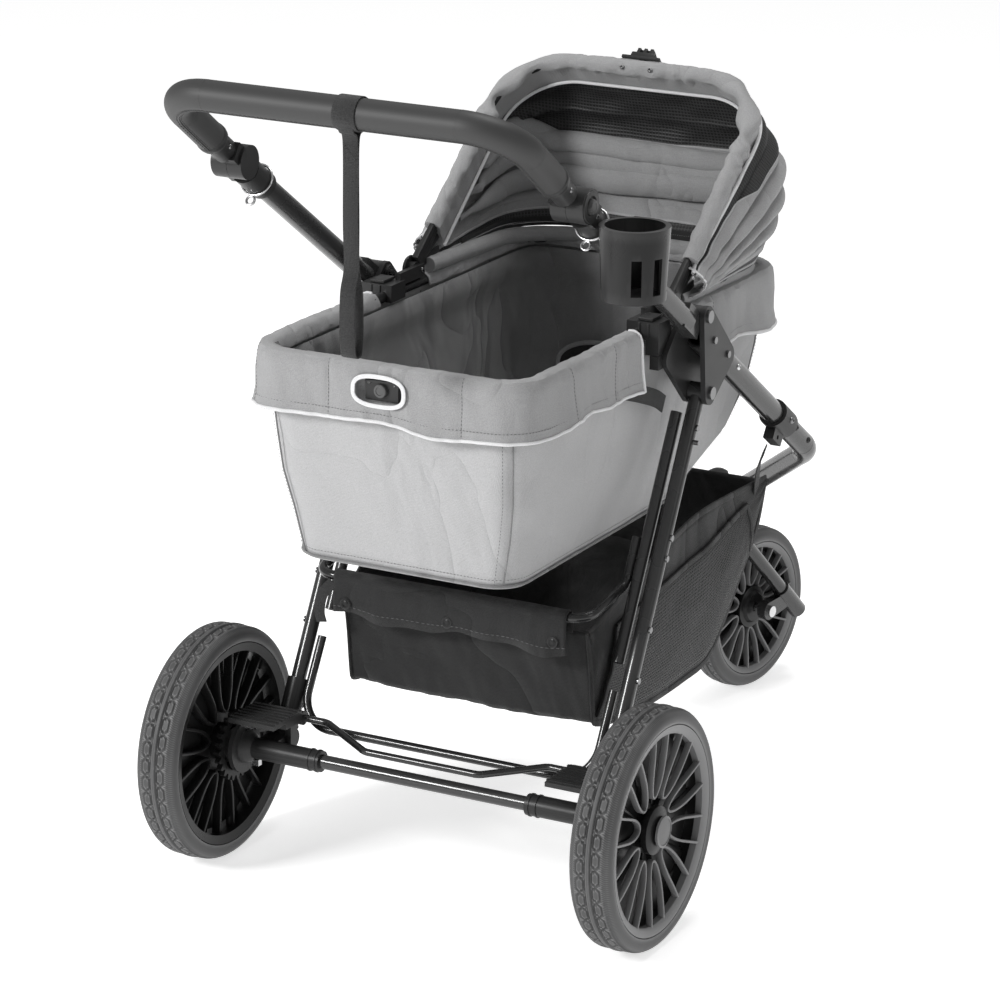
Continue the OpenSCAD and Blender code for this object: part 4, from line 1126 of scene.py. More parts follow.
@dataclass
class Carrier:
    """The lift-off tub: walls, lining, folded collar, bindings, pad and clips."""

    half: float = 0.184
    back: float = -0.100
    front: float = 0.604
    wall: float = 0.005
    collar_low: float = 0.634
    collar_top: float = 0.7065
    gap: tuple = (0.190, 0.300)
    pace: float = 0.0045
    quilt: float = 0.09
    levels: tuple = (Level(0.0, 0.038, 0.219, 0.034, 0.040), Level(0.062, 0.030, 0.074, 0.019, 0.046),
                     Level(0.110, 0.020, 0.034, 0.011, 0.044), Level(0.162, 0.012, 0.014, 0.006, 0.047),
                     Level(0.2515, 0.0, 0.0, 0.0, 0.050))
    low: float = field(default_factory=lambda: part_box("carrier_shell")[0].z)
    top: float = field(default_factory=lambda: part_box("carrier_shell")[1].z)
    counts: tuple = (20, 12, 52)

    def ring(self, z: float, grow: float = 0.0) -> np.ndarray:
        """The plan outline at one height, starting at the middle of the back and going to the right.

        Args:
            z: the height.
            grow: how far outside the outline it lies.

        Returns:
            The outline's points, one row each.
        """
        rise = [lv.rise for lv in self.levels]
        get = lambda name: float(np.interp(z - self.low, rise, [getattr(lv, name) for lv in self.levels]))
        w = self.half - get("side") + grow
        b, f = self.back + get("back") - grow, self.front - get("front") + grow
        c = get("corner") + grow
        n_end, n_corner, n_side = self.counts
        arc = np.linspace(0, math.pi / 2, n_corner, endpoint=False)
        pts = [(x, b) for x in np.linspace(0, w - c, n_end, endpoint=False)]
        pts += [(w - c + c * math.sin(a), b + c - c * math.cos(a)) for a in arc]
        pts += [(w, y) for y in np.linspace(b + c, f - c, n_side, endpoint=False)]
        pts += [(w - c + c * math.cos(a), f - c + c * math.sin(a)) for a in arc]
        pts += [(x, f) for x in np.linspace(w - c, -(w - c), 2 * n_end, endpoint=False)]
        pts += [(-(w - c) - c * math.sin(a), f - c + c * math.cos(a)) for a in arc]
        pts += [(-w, y) for y in np.linspace(f - c, b + c, n_side, endpoint=False)]
        pts += [(-(w - c) - c * math.cos(a), b + c - c * math.sin(a)) for a in arc]
        pts += [(x, b) for x in np.linspace(-(w - c), 0, n_end, endpoint=False)]
        pts = np.array(pts)
        return np.stack([pts[:, 0], pts[:, 1] + AXLE.y, np.full(len(pts), z)], 1)

    def skin(self, zs: np.ndarray, grow: float, seed: int, crease: float) -> np.ndarray:
        """Rings of a slack wall, with creases and panels that crown between their seams.

        Args:
            zs: the height of each ring.
            grow: how far outside the plan outline it lies.
            seed: the start of the random draws.
            crease: the creases' depth.

        Returns:
            Rings by points by three.
        """
        rings = np.array([self.ring(z, grow) for z in zs])
        normal = outward_of(rings[0], True)
        u = np.linspace(0, 2 * math.pi, rings.shape[1], endpoint=False)[None] * 5
        v = (zs[:, None] - zs[0]) / 0.09
        hold = np.sin(np.linspace(0.02, math.pi - 0.12, len(zs)))[:, None]
        ripple = waves(u, v, seed, 0.8) * hold * crease
        n = rings.shape[1]
        for spot in self.seam_spots().values():
            apart = np.abs((np.arange(n) - spot + n / 2) % n - n / 2)
            ripple = ripple - 0.0022 * np.exp(-(apart / 1.1) ** 2)[None] * hold
            ripple = ripple + 0.0030 * np.exp(-((apart - 7) / 4) ** 2)[None] * hold * waves(v * 2.2, u * 0.2,
                                                                                            seed + spot)
        if grow < -0.003:
            ripple = ripple - (0.8 * crease + 0.003) * hold
            lip = np.clip((zs - self.top + 0.050) / 0.030, 0, 1)
            ripple = ripple - ((3 - 2 * lip) * lip ** 2 * 0.0112)[:, None]
        return rings + ripple[..., None] * normal[None]

    def around(self) -> int:
        """How many points a ring has."""
        return 2 * (2 * self.counts[0] + 2 * self.counts[1] + self.counts[2])

    def seam_spots(self) -> dict:
        """Which point of a ring each upright corner seam runs down."""
        count, total = sum(self.counts[:2]), self.around()
        return {"rear_right": self.counts[0] + 5, "rear_left": total - self.counts[0] - 5,
                "front_right": count + self.counts[2] + 5, "front_left": total - count - self.counts[2] - 5}

    def walls(self) -> None:
        """Outer wall and lining as one closed shell, in two pieces by cloth."""
        zs = np.concatenate([[self.low, self.low + 0.0015, self.low + 0.005],
                             np.linspace(self.low + 0.013, self.top, 26)])
        outer = self.skin(zs, -0.0008, 3, 0.0036)
        tuck = [self.ring(self.low, -0.0075), self.ring(self.low + 0.0002, -0.0035)]
        tuck[1][:, 2] -= 0.0001
        inner = self.skin(zs[2:] - 0.003 * (zs[2:] > 0.6), -self.wall - 0.001, 8, 0.0052)
        floor = self.ring(self.low + 0.0055, -self.wall - 0.004)
        middle = (floor.min(0) + floor.max(0)) / 2
        inner_mid = floor * 0.5 + middle * 0.5
        base = self.ring(self.low + 0.0012, -0.02)
        base_mid = base * 0.5 + middle * 0.5
        base_mid[:, 2] = self.low + 0.0012
        grid = np.concatenate([[base_mid, base], tuck, outer])
        shell = loft("carrier_wall", grid, PANEL_CLOTH)
        lining = loft("carrier_lining", np.concatenate([inner[::-1], [floor, inner_mid]]), LINING_CLOTH,
                      caps=False)
        self.close_middle(lining)
        settle(thicken(lining, 0.0012, 1.0))
        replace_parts(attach(shell, "carrier"), "carrier_shell")
        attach(lining, "carrier")
        self.open_top(shell)

    def close_middle(self, thing: bpy.types.Object) -> None:
        """Fills the floor of an open tub."""
        made = bmesh.new()
        made.from_mesh(thing.data)
        rim = [e for e in made.edges if e.is_boundary and e.verts[0].co.z < self.low + 0.01]
        bmesh.ops.holes_fill(made, edges=rim, sides=0)
        made.to_mesh(thing.data)
        made.free()

    def open_top(self, thing: bpy.types.Object) -> None:
        """Takes off the wall's flat top cap and gives the wall its thickness."""
        made = bmesh.new()
        made.from_mesh(thing.data)
        lids = [f for f in made.faces if len(f.verts) > 8 and f.calc_center_median().z > self.top - 0.02]
        bmesh.ops.delete(made, geom=lids, context="FACES")
        made.to_mesh(thing.data)
        made.free()
        settle(thicken(thing, 0.0022, -1.0))

    def seams(self) -> None:
        """Vertical corner seams, the hem along the foot of the wall and rows of stitches."""
        total = self.around()
        spots = self.seam_spots()
        zs = np.linspace(self.low + 0.004, self.collar_low + 0.02, 40)
        for name, spot in spots.items():
            path = np.array([self.ring(z, 0.0004)[spot] for z in zs])
            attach(sweep("seam_" + name, path, circle(0.0012, 8), LINING_CLOTH), "carrier")
            shift = np.array([self.ring(z, 0.0005)[spot - 2] for z in zs])
            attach(stitches("stitches_" + name, shift, THREAD_PALE), "carrier")
        hem = self.ring(self.low + 0.004, 0.0012)
        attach(sweep("foot_piping", hem, circle(0.0019, 8), LINING_CLOTH, True), "carrier")
        row = self.ring(self.low + 0.012, 0.0006)
        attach(stitches("foot_stitches", np.vstack([row, row[:1]]), THREAD_PALE), "carrier")
        inside = {"a": 44, "b": 62, "c": 78, "d": total - 44, "e": total - 62, "f": total - 78, "g": 8,
                  "h": total - 8}
        for name, spot in inside.items():
            path = np.array([self.ring(z, -self.wall - 0.0042)[spot]
                             for z in np.linspace(self.low + 0.03, self.top - 0.004, 40)])
            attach(stitches("lining_stitches_" + name, path, THREAD_DARK, 0.004, 0.0016, 0.0006), "carrier")

    def band_section(self) -> np.ndarray:
        """The folded collar's section: outward offset and height, round the rim and down both sides."""
        low, top = self.collar_low, self.collar_top
        return np.array([(0.0110, low), (0.0094, low + 0.018), (0.0098, low + 0.040), (0.0108, top - 0.016),
                         (0.0098, top - 0.006), (0.0060, top - 0.0010), (-0.0020, top),
                         (-0.0100, top - 0.0010),
                         (-0.0150, top - 0.005), (-0.0172, top - 0.010), (-0.0174, top - 0.014),
                         (-0.0168, top - 0.0162),
                         (-0.0158, top - 0.014), (-0.0152, top - 0.011), (-0.0138, top - 0.0075),
                         (-0.0088, top - 0.0040), (-0.0020, top - 0.0022), (0.0042, top - 0.0040),
                         (0.0072, top - 0.010), (0.0076, top - 0.020), (0.0058, low + 0.030),
                         (0.0072, low + 0.0015)])

    def collar_run(self, rear: bool) -> np.ndarray:
        """The part of the plan outline that one length of the collar covers.

        Args:
            rear: whether it is the rear length or the front one.

        Returns:
            Its points in order, evenly spaced.
        """
        ring = self.ring(self.top, 0.0)
        y = ring[:, 1] - AXLE.y
        keep = y < self.gap[0] if rear else y > self.gap[1]
        if rear:
            half = len(ring) // 2
            order = np.concatenate([np.arange(half, len(ring)), np.arange(half)])
            chosen = [i for i in order if keep[i]]
        else:
            chosen = [i for i in range(len(ring)) if keep[i]]
        return resample(ring[chosen], self.pace)

    def collar(self) -> None:
        """Both lengths of the folded collar with their bindings and seams."""
        section = self.band_section()
        for name, rear in (("rear", True), ("front", False)):
            run = self.collar_run(rear)
            normal = outward_of(run, False)
            s = np.arange(len(run)) * self.pace
            sway = 0.0034 * np.sin(s / 0.052) + 0.0020 * np.sin(s / 0.023 + 1.0)
            flare = 0.0034 * (1 + np.sin(s / 0.036 + 0.6)) + 0.0022 * np.sin(s / 0.0155)
            fall = (section[:, 1] - self.collar_low) / (self.collar_top - self.collar_low)
            outer = section[:, 0] > 0.003
            push = np.where(outer, (1 - fall) ** 1.3, 0.0)[None] * flare[:, None]
            puff = 0.0026 * waves(s[:, None] / 0.020, fall[None] * 5, 5)
            seam = sum(np.exp(-((s - place) / 0.0022) ** 2) for place in self.seam_places(s[-1]))
            puff = puff - 0.0016 * seam[:, None] * np.where(section[:, 0] > 0, 1, -1)[None]
            offset = section[None, :, 0] + push + puff
            height = section[None, :, 1] + np.where(outer, (1 - fall) ** 2, 0.0)[None] * sway[:, None]
            grid = run[:, None] + offset[..., None] * normal[:, None]
            grid[..., 2] = height
            band = loft(f"collar_{name}", grid, CANOPY_CLOTH)
            if rear:
                self.window(band)
            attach(band, "carrier")
            if rear:
                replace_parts(band, "carrier_collar")
            edge = grid[:, 0] * 0.5 + grid[:, -1] * 0.5
            edge[:, 2] -= 0.0008
            hem = np.vstack([grid[0, 6:0:-1] * 0.5 + grid[0, 15:21] * 0.5, edge,
                             grid[-1, 1:7] * 0.5 + grid[-1, 20:14:-1] * 0.5])
            tape = sweep(f"collar_{name}_binding", resample(hem, 0.003), bar(0.0040, 0.0072, 0.0016), PIPING)
            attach(tape, "carrier")
            line = grid[:, 1].copy()
            line[:, 2] -= 0.006
            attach(stitches(f"collar_{name}_stitches", line + 0.0008 * normal, THREAD_PALE), "carrier")
            for k, place in enumerate(self.seam_places(s[-1])):
                row = int(np.argmin(abs(s - place)))
                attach(stitches(f"collar_{name}_seam_{k}", grid[row, :6] + 0.0004 * normal[row],
                                 THREAD_PALE), "carrier")

    def seam_places(self, length: float) -> list:
        """Where the collar's panels are joined, along its length."""
        return [length * share for share in (0.09, 0.30, 0.42, 0.62, 0.80, 0.93)]

    def window(self, band: bpy.types.Object) -> None:
        """Cuts the oval that bares the carry latch, and binds its edge.

        Args:
            band: the rear length of the collar.
        """
        low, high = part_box("latch_block")
        mid = np.array([(low.x + high.x) / 2, low.y - 0.010, (low.z + high.z) / 2])
        wide, tall = 0.0335, 0.0175
        turn = np.linspace(0, 2 * math.pi, 56, endpoint=False)
        oval = np.stack([wide * np.sign(np.cos(turn)) * np.abs(np.cos(turn)) ** 0.72, np.zeros(56),
                         tall * np.sign(np.sin(turn)) * np.abs(np.sin(turn)) ** 0.72], 1)
        grid = np.stack([mid + oval + np.array([0, y, 0]) for y in (-0.03, 0.0125)])
        cut(band, loft("window_cutter", grid, PANEL_CLOTH))
        rim = mid + oval * 1.02
        rim[:, 1] = AXLE.y + self.back - 0.0146 - 0.0010 * np.cos(turn) ** 2
        tape = sweep("window_binding", rim, bar(0.0020, 0.0054, 0.0008), PIPING, True, FORWARD)
        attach(tape, "carrier")

    def pad(self) -> None:
        """Quilted floor pad, puffed up by a cloth simulation."""
        low, high = (np.array(c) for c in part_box("floor_pad"))
        thick = high[2] - low[2]
        z = low[2] + thick * 0.5
        ring = self.ring(self.low + 0.004, -self.wall - 0.0075)
        middle = np.array([0, (ring[:, 1].min() + ring[:, 1].max()) / 2, z])
        layers = []
        for share, lift in ((0.05, -0.36), (0.7, -0.40), (0.97, -0.33), (1.0, 0.0), (0.97, 0.33), (0.7, 0.40),
                            (0.05, 0.36)):
            layer = middle + (ring - middle) * share
            layer[:, 2] = z + lift * thick * 0.9
            layers.append(layer)
        thing = loft("floor_cushion", np.array(layers), PAD_CLOTH)
        remesh = thing.modifiers.new("voxels", "REMESH")
        remesh.mode, remesh.voxel_size = "VOXEL", 0.0055
        settle(thing)
        start = np.array([v.co for v in thing.data.vertices])
        puff(thing, 20, 3.0)
        now = np.array([v.co for v in thing.data.vertices])
        move = now - start
        most = 0.006
        now = start + move * np.minimum(1.0, most / np.maximum(np.linalg.norm(move, axis=1), 1e-9))[:, None]
        lattice = np.minimum(np.abs(np.sin(now[:, 0] * math.pi / self.quilt)),
                             np.abs(np.sin((now[:, 1] - AXLE.y) * math.pi / self.quilt)))
        top = now[:, 2] > z
        now[:, 2] -= np.where(top, 0.0035 * np.exp(-(lattice / 0.13) ** 2), 0.0)
        now[:, 2] = np.maximum(now[:, 2], low[2] - 0.0004)
        thing.data.vertices.foreach_set("co", now.ravel())
        smooth = thing.modifiers.new("finer", "SUBSURF")
        smooth.levels = smooth.render_levels = 1
        settle(thing)
        thing.data.shade_smooth()
        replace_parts(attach(thing, "carrier"), "floor_pad")
        hem = ring.copy()
        hem[:, 2] = z
        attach(sweep("cushion_piping", hem, circle(0.0018, 8), LINING_CLOTH, True), "carrier")

    def fittings(self) -> None:
        """Latch details, side straps, the lined opening and the clips' plates."""
        low, high = (np.array(c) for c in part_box("latch_block"))
        mid = (low + high) / 2
        y = low[1] - 0.0006
        for k, x in enumerate((-0.017, 0.017)):
            screw(f"latch_screw_{k}", np.array([x, y, mid[2] + 0.008]), BACKWARD, 0.0018, "carrier")
        frame_bar = solid_box("latch_frame", [-0.0215, low[1] - 0.0022, high[2] - 0.0042],
                              [0.0215, low[1], high[2] - 0.001], PLASTIC, 0.0008)
        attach(frame_bar, "carrier")
        knob = lathe("latch_knob", np.array([0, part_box("latch_button")[0].y, mid[2]]), BACKWARD,
                     [(0.0076, -0.001), (0.0074, 0.0004), (0.0052, 0.0007), (0.0048, 0.0), (0.0003, -0.0002)],
                     BUTTON, 32)
        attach(knob, "catch_button")
        for side, sign in SIDES:
            start = at(sign * 188, 150, 640) + np.array([sign * 0.004, 0, 0])
            strap = curve_through([start, at(sign * 197, 185, 628), at(sign * 197, 222, 614),
                                   at(sign * 194, 250, 600)], 0.004)
            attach(sweep(f"{side}_side_strap", strap, bar(0.022, 0.0018, 0.0006), WEBBING,
                          side=np.array([0, 0.5, 0.86])), "carrier")
            y0, y1 = AXLE.y + 0.204, AXLE.y + 0.240
            x = sign * 0.187
            block = solid_box(f"{side}_clip_cover", [x - 0.010, y0 + 0.004, self.top + 0.0235],
                              [x + 0.010, y1 - 0.004, self.top + 0.0275], PLASTIC, 0.0012)
            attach(block, "carrier")
            for k in (-1, 1):
                rib = solid_box(f"{side}_clip_rib_{k + 1}",
                                [x - 0.0015 + 0.006 * k, y0 - 0.0015, self.top + 0.006],
                                [x + 0.0015 + 0.006 * k, y0 + 0.001, self.top + 0.022], PLASTIC, 0.0006)
                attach(rib, "carrier")
        self.lined_hole()

    def lined_hole(self) -> None:
        """The bound oval in the lining of the front wall."""
        turn = np.linspace(0, 2 * math.pi, 48, endpoint=False)

        def oval(share: float, inward: float) -> np.ndarray:
            """The hole's edge at a share of its size, set in from the wall."""
            x, z = -0.045 + share * 0.058 * np.cos(turn), 0.548 + share * 0.026 * np.sin(turn)
            y = np.array([self.ring(height, -inward)[:, 1].max() for height in z])
            return np.stack([x, y, z], 1)

        grid = np.stack([oval(0.02, 0.024), oval(0.97, 0.024), oval(0.98, 0.021)])
        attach(loft("lined_opening", grid, BASKET_CLOTH, caps=False), "carrier")
        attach(sweep("lined_opening_binding", oval(1.0, 0.0245), bar(0.0026, 0.006, 0.001), PAD_CLOTH, True,
                      FORWARD), "carrier")


def puff(thing: bpy.types.Object, frames: int, pressure: float) -> None:
    """Blows a closed mesh up with Blender's cloth and keeps the result.

    Args:
        thing: the mesh.
        frames: how long it is blown.
        pressure: how hard.
    """
    cloth = thing.modifiers.new("cloth", "CLOTH")
    cloth.settings.use_pressure = True
    cloth.settings.uniform_pressure_force = pressure
    cloth.settings.effector_weights.gravity = 0.0
    cloth.settings.quality = 4
    scene = bpy.context.scene
    cloth.point_cache.frame_start, cloth.point_cache.frame_end = 1, frames
    for number in range(1, frames + 1):
        scene.frame_set(number)
    settle(thing)
    scene.frame_set(1)


# ---------- hood ----------


@dataclass
class Hood:
    """Folding canopy between the leading bow and the rim."""

    lift: float = math.radians(40.3)
    low: float = math.radians(1.0)
    reach: float = 0.358
    rim_reach: float = 0.307
    half: float = 0.181
    corner: float = 0.088
    start: float = 0.055
    counts: tuple = (46, 18, 44)
    steps: int = 160
    pivot: np.ndarray = field(default_factory=lambda: joint_point("hood_fold"))

    def arch(self, lift: float, reach: float, half: float, start: Optional[float] = None) -> tuple:
        """One bow's line, from the left pivot over to the right.

        Args:
            lift: the bow's angle over level.
            reach: how far its top stands from the pivots.
            half: half its width.
            start: how far from the pivot it begins.

        Returns:
            The line, its outward directions, and each point's distance from the pivots.
        """
        s = self.start if start is None else start
        arm, turn, top = self.counts
        c = self.corner
        arc = np.linspace(0, math.pi / 2, turn, endpoint=False)
        pts = [(-half, r, -1, 0) for r in np.linspace(s, reach - c, arm, endpoint=False)]
        pts += [(-half + c - c * math.cos(a), reach - c + c * math.sin(a), -math.cos(a), math.sin(a))
                for a in arc]
        pts += [(x, reach, 0, 1) for x in np.linspace(-half + c, half - c, top, endpoint=False)]
        pts += [(half - c + c * math.sin(a), reach - c + c * math.cos(a), math.sin(a), math.cos(a))
                for a in arc]
        pts += [(half, r, 1, 0) for r in np.linspace(reach - c, s, arm)]
        x, r, nx, nr = np.array(pts).T
        out = raised(lift)
        line = self.pivot + x[:, None] * RIGHT + r[:, None] * out
        normal = nx[:, None] * RIGHT + nr[:, None] * out
        return line, normal, r

    def surface(self, v0: float, v1: float, rows: int, grow: float = 0.0) -> np.ndarray:
        """The canopy between two shares of its depth, 0 at the leading bow and 1 at the rim.

        Args:
            v0: the first share.
            v1: the last share.
            rows: how many rings lie between them.
            grow: how far outside the canopy they lie.

        Returns:
            Rings by points by three.
        """
        whole = self.whole(grow)
        side = self.side_share()
        low_edge, high_edge = (self.pinch(v, side) for v in (v0, v1))
        want = low_edge[None] + (high_edge - low_edge)[None] * np.linspace(0, 1, rows)[:, None]
        spot = np.clip(want * self.steps, 0, self.steps - 0.001)
        below = spot.astype(int)
        part = (spot - below)[..., None]
        column = np.arange(whole.shape[1])[None]
        return whole[below, column] * (1 - part) + whole[below + 1, column] * part

    def side_share(self) -> np.ndarray:
        """How far each point of an arch is down its side arm, from 0 over the top to 1 at the pivot."""
        line, reach = self.arch(self.lift, self.reach, self.half)[::2]
        down = np.clip((self.reach - self.corner * 0.5 - reach) / (self.reach - self.corner - self.start), 0,
                       1)
        return np.maximum(down, 0.42 * np.clip((np.abs(line[:, 0]) / self.half - 0.62) / 0.38, 0, 1) ** 1.5)

    def pinch(self, v: float, side: np.ndarray) -> np.ndarray:
        """The share of the depth a seam runs at, drawn in towards the band down each side."""
        drop = 0.31 * math.exp(-((v - 0.50) / 0.12) ** 2) if v > 0.2 else 0.0
        return v - drop * np.minimum(1.0, side * 1.6)

    def whole(self, grow: float) -> np.ndarray:
        """The canopy's full skin from the leading bow to the rim.

        Args:
            grow: how far outside the canopy it lies.

        Returns:
            Rings by points by three.
        """
        rings = []
        for v in np.linspace(0, 1, self.steps + 1):
            lift = self.lift + (self.low - self.lift) * v
            bulge = math.sin(math.pi * min(1, max(0, v)))
            reach = self.reach + (self.rim_reach - self.reach) * v ** 1.4 + 0.012 * bulge
            half = self.half + 0.020 * bulge ** 0.8 + 0.006 * v
            line, normal, r = self.arch(lift, reach, half, self.start * (1 - 0.25 * v))
            over = np.clip(np.abs(line[:, 0]) / self.half, 0, 1) ** 3
            calm = np.clip((r - 0.05) / 0.06, 0, 1)
            fold = self.fold(v) * np.clip((r - 0.03) / 0.16, 0, 1) ** 0.9 * (0.25 + 0.75 * over)
            u = np.linspace(0, 9, len(line))
            crease = 0.0042 * waves(u * 1.1, np.full_like(u, v * 7.0), 17) * min(1.0, 6 * v,
                                                                                 6 * (1 - v) + 0.1) * calm
            drag = 0.0018 * np.sin(u * 14 + 5 * v) * np.exp(-((r - 0.05) / 0.06) ** 2)
            rings.append(line + (fold + crease + drag + grow)[:, None] * normal)
        return np.array(rings)

    def fold(self, v: float) -> float:
        """How far the gathered folds stand out at one share of the depth."""
        if v < 0.2 or v > 0.93:
            return 0.0
        t = (v - 0.2) / 0.73
        wave = abs(math.sin(math.pi * 4.5 * t)) ** 0.6
        return (0.017 * wave - 0.008) * math.sin(math.pi * min(1.0, t * 1.06 + 0.02)) ** 0.5

    def blend(self, thing: bpy.types.Object) -> bpy.types.Object:
        """Bakes a piece's placement into its mesh."""
        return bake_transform(thing)

    def canopy(self) -> None:
        """Window net, folded cloth, vent net and their bindings."""
        net = loft("hood_window", self.surface(0.11, 0.51, 30, -0.001), NET, False, mapped=True)
        folds = loft("hood_canopy", self.surface(0.50, 0.92, 90), CANOPY_CLOTH, False)
        vent = loft("hood_vent", self.surface(0.91, 1.0, 8, -0.001), NET, False, mapped=True)
        for thing, depth, node in ((net, 0.0008, None), (folds, 0.0016, "hood_fabric"), (vent, 0.0008, None)):
            settle(thicken(thing, depth))
            self.blend(thing)
            if node:
                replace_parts(thing, node)
        for name, v, radius, finish in (("window_top", 0.115, 0.0026, PIPING),
                                        ("window_foot", 0.505, 0.0018, PANEL_CLOTH),
                                        ("vent_top", 0.915, 0.0018, PANEL_CLOTH),
                                        ("vent_foot", 0.995, 0.0020, PANEL_CLOTH)):
            line = self.surface(v, v + 0.01, 2, -0.0012)[0]
            self.blend(sweep("hood_binding_" + name, line, circle(radius, 8), finish))
        for name, column in (("left", 1), ("right", -2)):
            edge = self.surface(0.0, 1.0, 60)[:, column]
            self.blend(sweep("hood_corner_binding_" + name, resample(edge, 0.004),
                             bar(0.0062, 0.0018, 0.0007), PIPING))
        self.ribs()
        self.zip()

    def ribs(self) -> None:
        """Soft rolls of cloth over the inner bows, seen from inside the hood."""
        for k, (v, thick) in enumerate(((0.545, 0.0105), (0.62, 0.0125), (0.71, 0.0135))):
            line = self.surface(v, v + 0.01, 2, -0.006 - thick * 0.6)[0][22:-22]
            n = len(line)
            sag = 0.004 * np.sin(np.linspace(0, math.pi * (1.6 + 0.5 * k), n) + 1.1 * k)
            line = line + sag[:, None] * UP
            ends = np.clip(np.minimum(np.arange(n), np.arange(n)[::-1]) / 24, 0.25, 1)
            size = ends * (1 + 0.10 * np.sin(np.linspace(0, 5 + k, n) + 2 * k))
            self.blend(sweep(f"hood_roll_{k}", line, circle(thick, 20) * np.array([0.8, 1.25]), CANOPY_CLOTH,
                             size=size))
        line = self.arch(math.radians(-1.6), self.rim_reach - 0.002, 0.1755, 0.030)[0]
        size = 1 + 0.09 * waves(np.arange(len(line)) * 0.22, np.zeros(len(line)), 61)
        roll = sweep("hood_foot_roll", line, circle(0.0105, 16), CANOPY_CLOTH, size=size)
        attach(roll, "carrier")

    def zip(self) -> None:
        """Zip along the foot of the vent: tape and teeth."""
        line = self.surface(0.985, 0.995, 2, -0.004)[0][24:-24]
        self.blend(sweep("zip_tape", line, bar(0.013, 0.0010, 0.0004), BASKET_CLOTH, side=UP))
        self.blend(stitches("zip_teeth", line - UP * 0.0002, STEEL, 0.0016, 0.0016, 0.0013))

    def band(self) -> None:
        """Padded sleeve of cloth round the leading bow, gathered where it turns."""
        line, normal = self.arch(self.lift, self.reach - 0.0045, 0.180, self.start + 0.012)[:2]
        back = np.array([0, math.sin(self.lift), -math.cos(self.lift)])
        u = np.linspace(0, 1, len(line))
        bends = np.exp(-((u - 0.27) / 0.07) ** 2) + np.exp(-((u - 0.73) / 0.05) ** 2)
        gather = 0.0034 * np.sin(u * 170 + 2 * np.sin(u * 31)) * (bends + 0.15)
        turn = np.linspace(-2.35, 2.35, 17)
        shape = [(0.0108 * math.sin(a), -0.0098 * math.cos(a)) for a in turn]
        shape = [(0.0016, 0.038), (0.0062, 0.024)] + shape[::-1] + [(-0.0058, 0.024), (-0.0016, 0.038)]
        across, depth = np.array(shape).T
        crumple = 0.0018 * waves(u[:, None] * 44, np.arange(len(shape))[None] * 0.7, 23)
        out = across[None] * (1 + (gather[:, None] + crumple) / 0.008) + 0.002
        deep = np.broadcast_to(depth, out.shape) + 0.5 * gather[:, None]
        grid = line[:, None] + out[..., None] * normal[:, None] + deep[..., None] * back
        band = loft("hood_band", grid, CANOPY_CLOTH)
        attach(band, "hood")
        row = line + 0.0062 * normal + 0.0225 * back
        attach(stitches("hood_band_stitches", row, THREAD_PALE), "hood")
        edge = line - 0.0032 * normal + 0.036 * back
        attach(sweep("hood_band_piping", edge, circle(0.0022, 8), PIPING), "hood")

    def arms(self) -> None:
        """Moulded pivot discs and the flat arms of the bows."""
        for side, sign in SIDES:
            x = sign * 0.180
            outward = sign * RIGHT
            hub = lathe(side + "_hood_hub", self.pivot + np.array([x + sign * 0.0062, 0, 0]), outward,
                        [(0.0165, -0.002), (0.017, 0.0), (0.0155, 0.0022), (0.006, 0.0028), (0.0005, 0.0024)],
                        PLASTIC, 48)
            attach(hub, "hood")
            screw(side + "_hood_screw", self.pivot + np.array([x + sign * 0.009, 0, 0]), outward, 0.003,
                  "hood")
            screw(side + "_hood_inner_screw", self.pivot + np.array([x - sign * 0.0126, 0, 0]), -outward,
                  0.0034, "carrier")
            out = raised(self.lift)
            path = np.array([self.pivot + np.array([x, 0, 0]) + out * d
                             for d in np.linspace(0.010, 0.088, 12)])
            size = np.linspace(1.15, 0.72, 12)
            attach(sweep(side + "_bow_arm", path, bar(0.0085, 0.019, 0.002), PLASTIC, side=RIGHT, size=size),
                    "hood")
            for k, (lift, length) in enumerate(((0.46, 0.075), (0.20, 0.066))):
                out = raised(lift)
                path = np.array([self.pivot + np.array([x + sign * 0.0005, 0, 0]) + out * d
                                 for d in np.linspace(0.016, length, 10)])
                arm = sweep(f"{side}_rib_arm_{k}", path, bar(0.0045, 0.012, 0.0012), PLASTIC, side=RIGHT,
                            size=np.linspace(1.1, 0.7, 10))
                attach(arm, "carrier")

    def buckle(self) -> None:
        """Two-part clip on the middle of the leading bow."""
        out = raised(self.lift)
        back = np.array([0, math.sin(self.lift), -math.cos(self.lift)])
        turn = Matrix.Rotation(self.lift - math.pi / 2, 4, "X")
        top = self.pivot + out * (self.reach + 0.0085)

        def block(name: str, middle: np.ndarray, size: tuple) -> None:
            """One moulded block of the buckle."""
            half = np.array(size) / 2
            thing = solid_box(name, middle - half, middle + half, PLASTIC, min(size) * 0.18, turn)
            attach(thing, "hood")

        block("buckle_base", top, (0.054, 0.020, 0.004))
        block("buckle_body", top + out * 0.006, (0.034, 0.015, 0.009))
        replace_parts(bpy.data.objects["buckle_body"], "hood_buckle")
        for k, x in enumerate((-0.009, 0.0, 0.009)):
            block(f"buckle_prong_{k}", top + out * 0.0135 + RIGHT * x, (0.0045, 0.012, 0.009))
        block("buckle_bridge", top + out * 0.0165, (0.0225, 0.004, 0.003))
        for k, x in enumerate((-0.020, 0.020)):
            spot = self.pivot + out * (self.reach - 0.010) - back * 0.0085 + RIGHT * x
            screw(f"buckle_screw_{k}", spot, -back, 0.0030, "hood")


# ---------- basket ----------


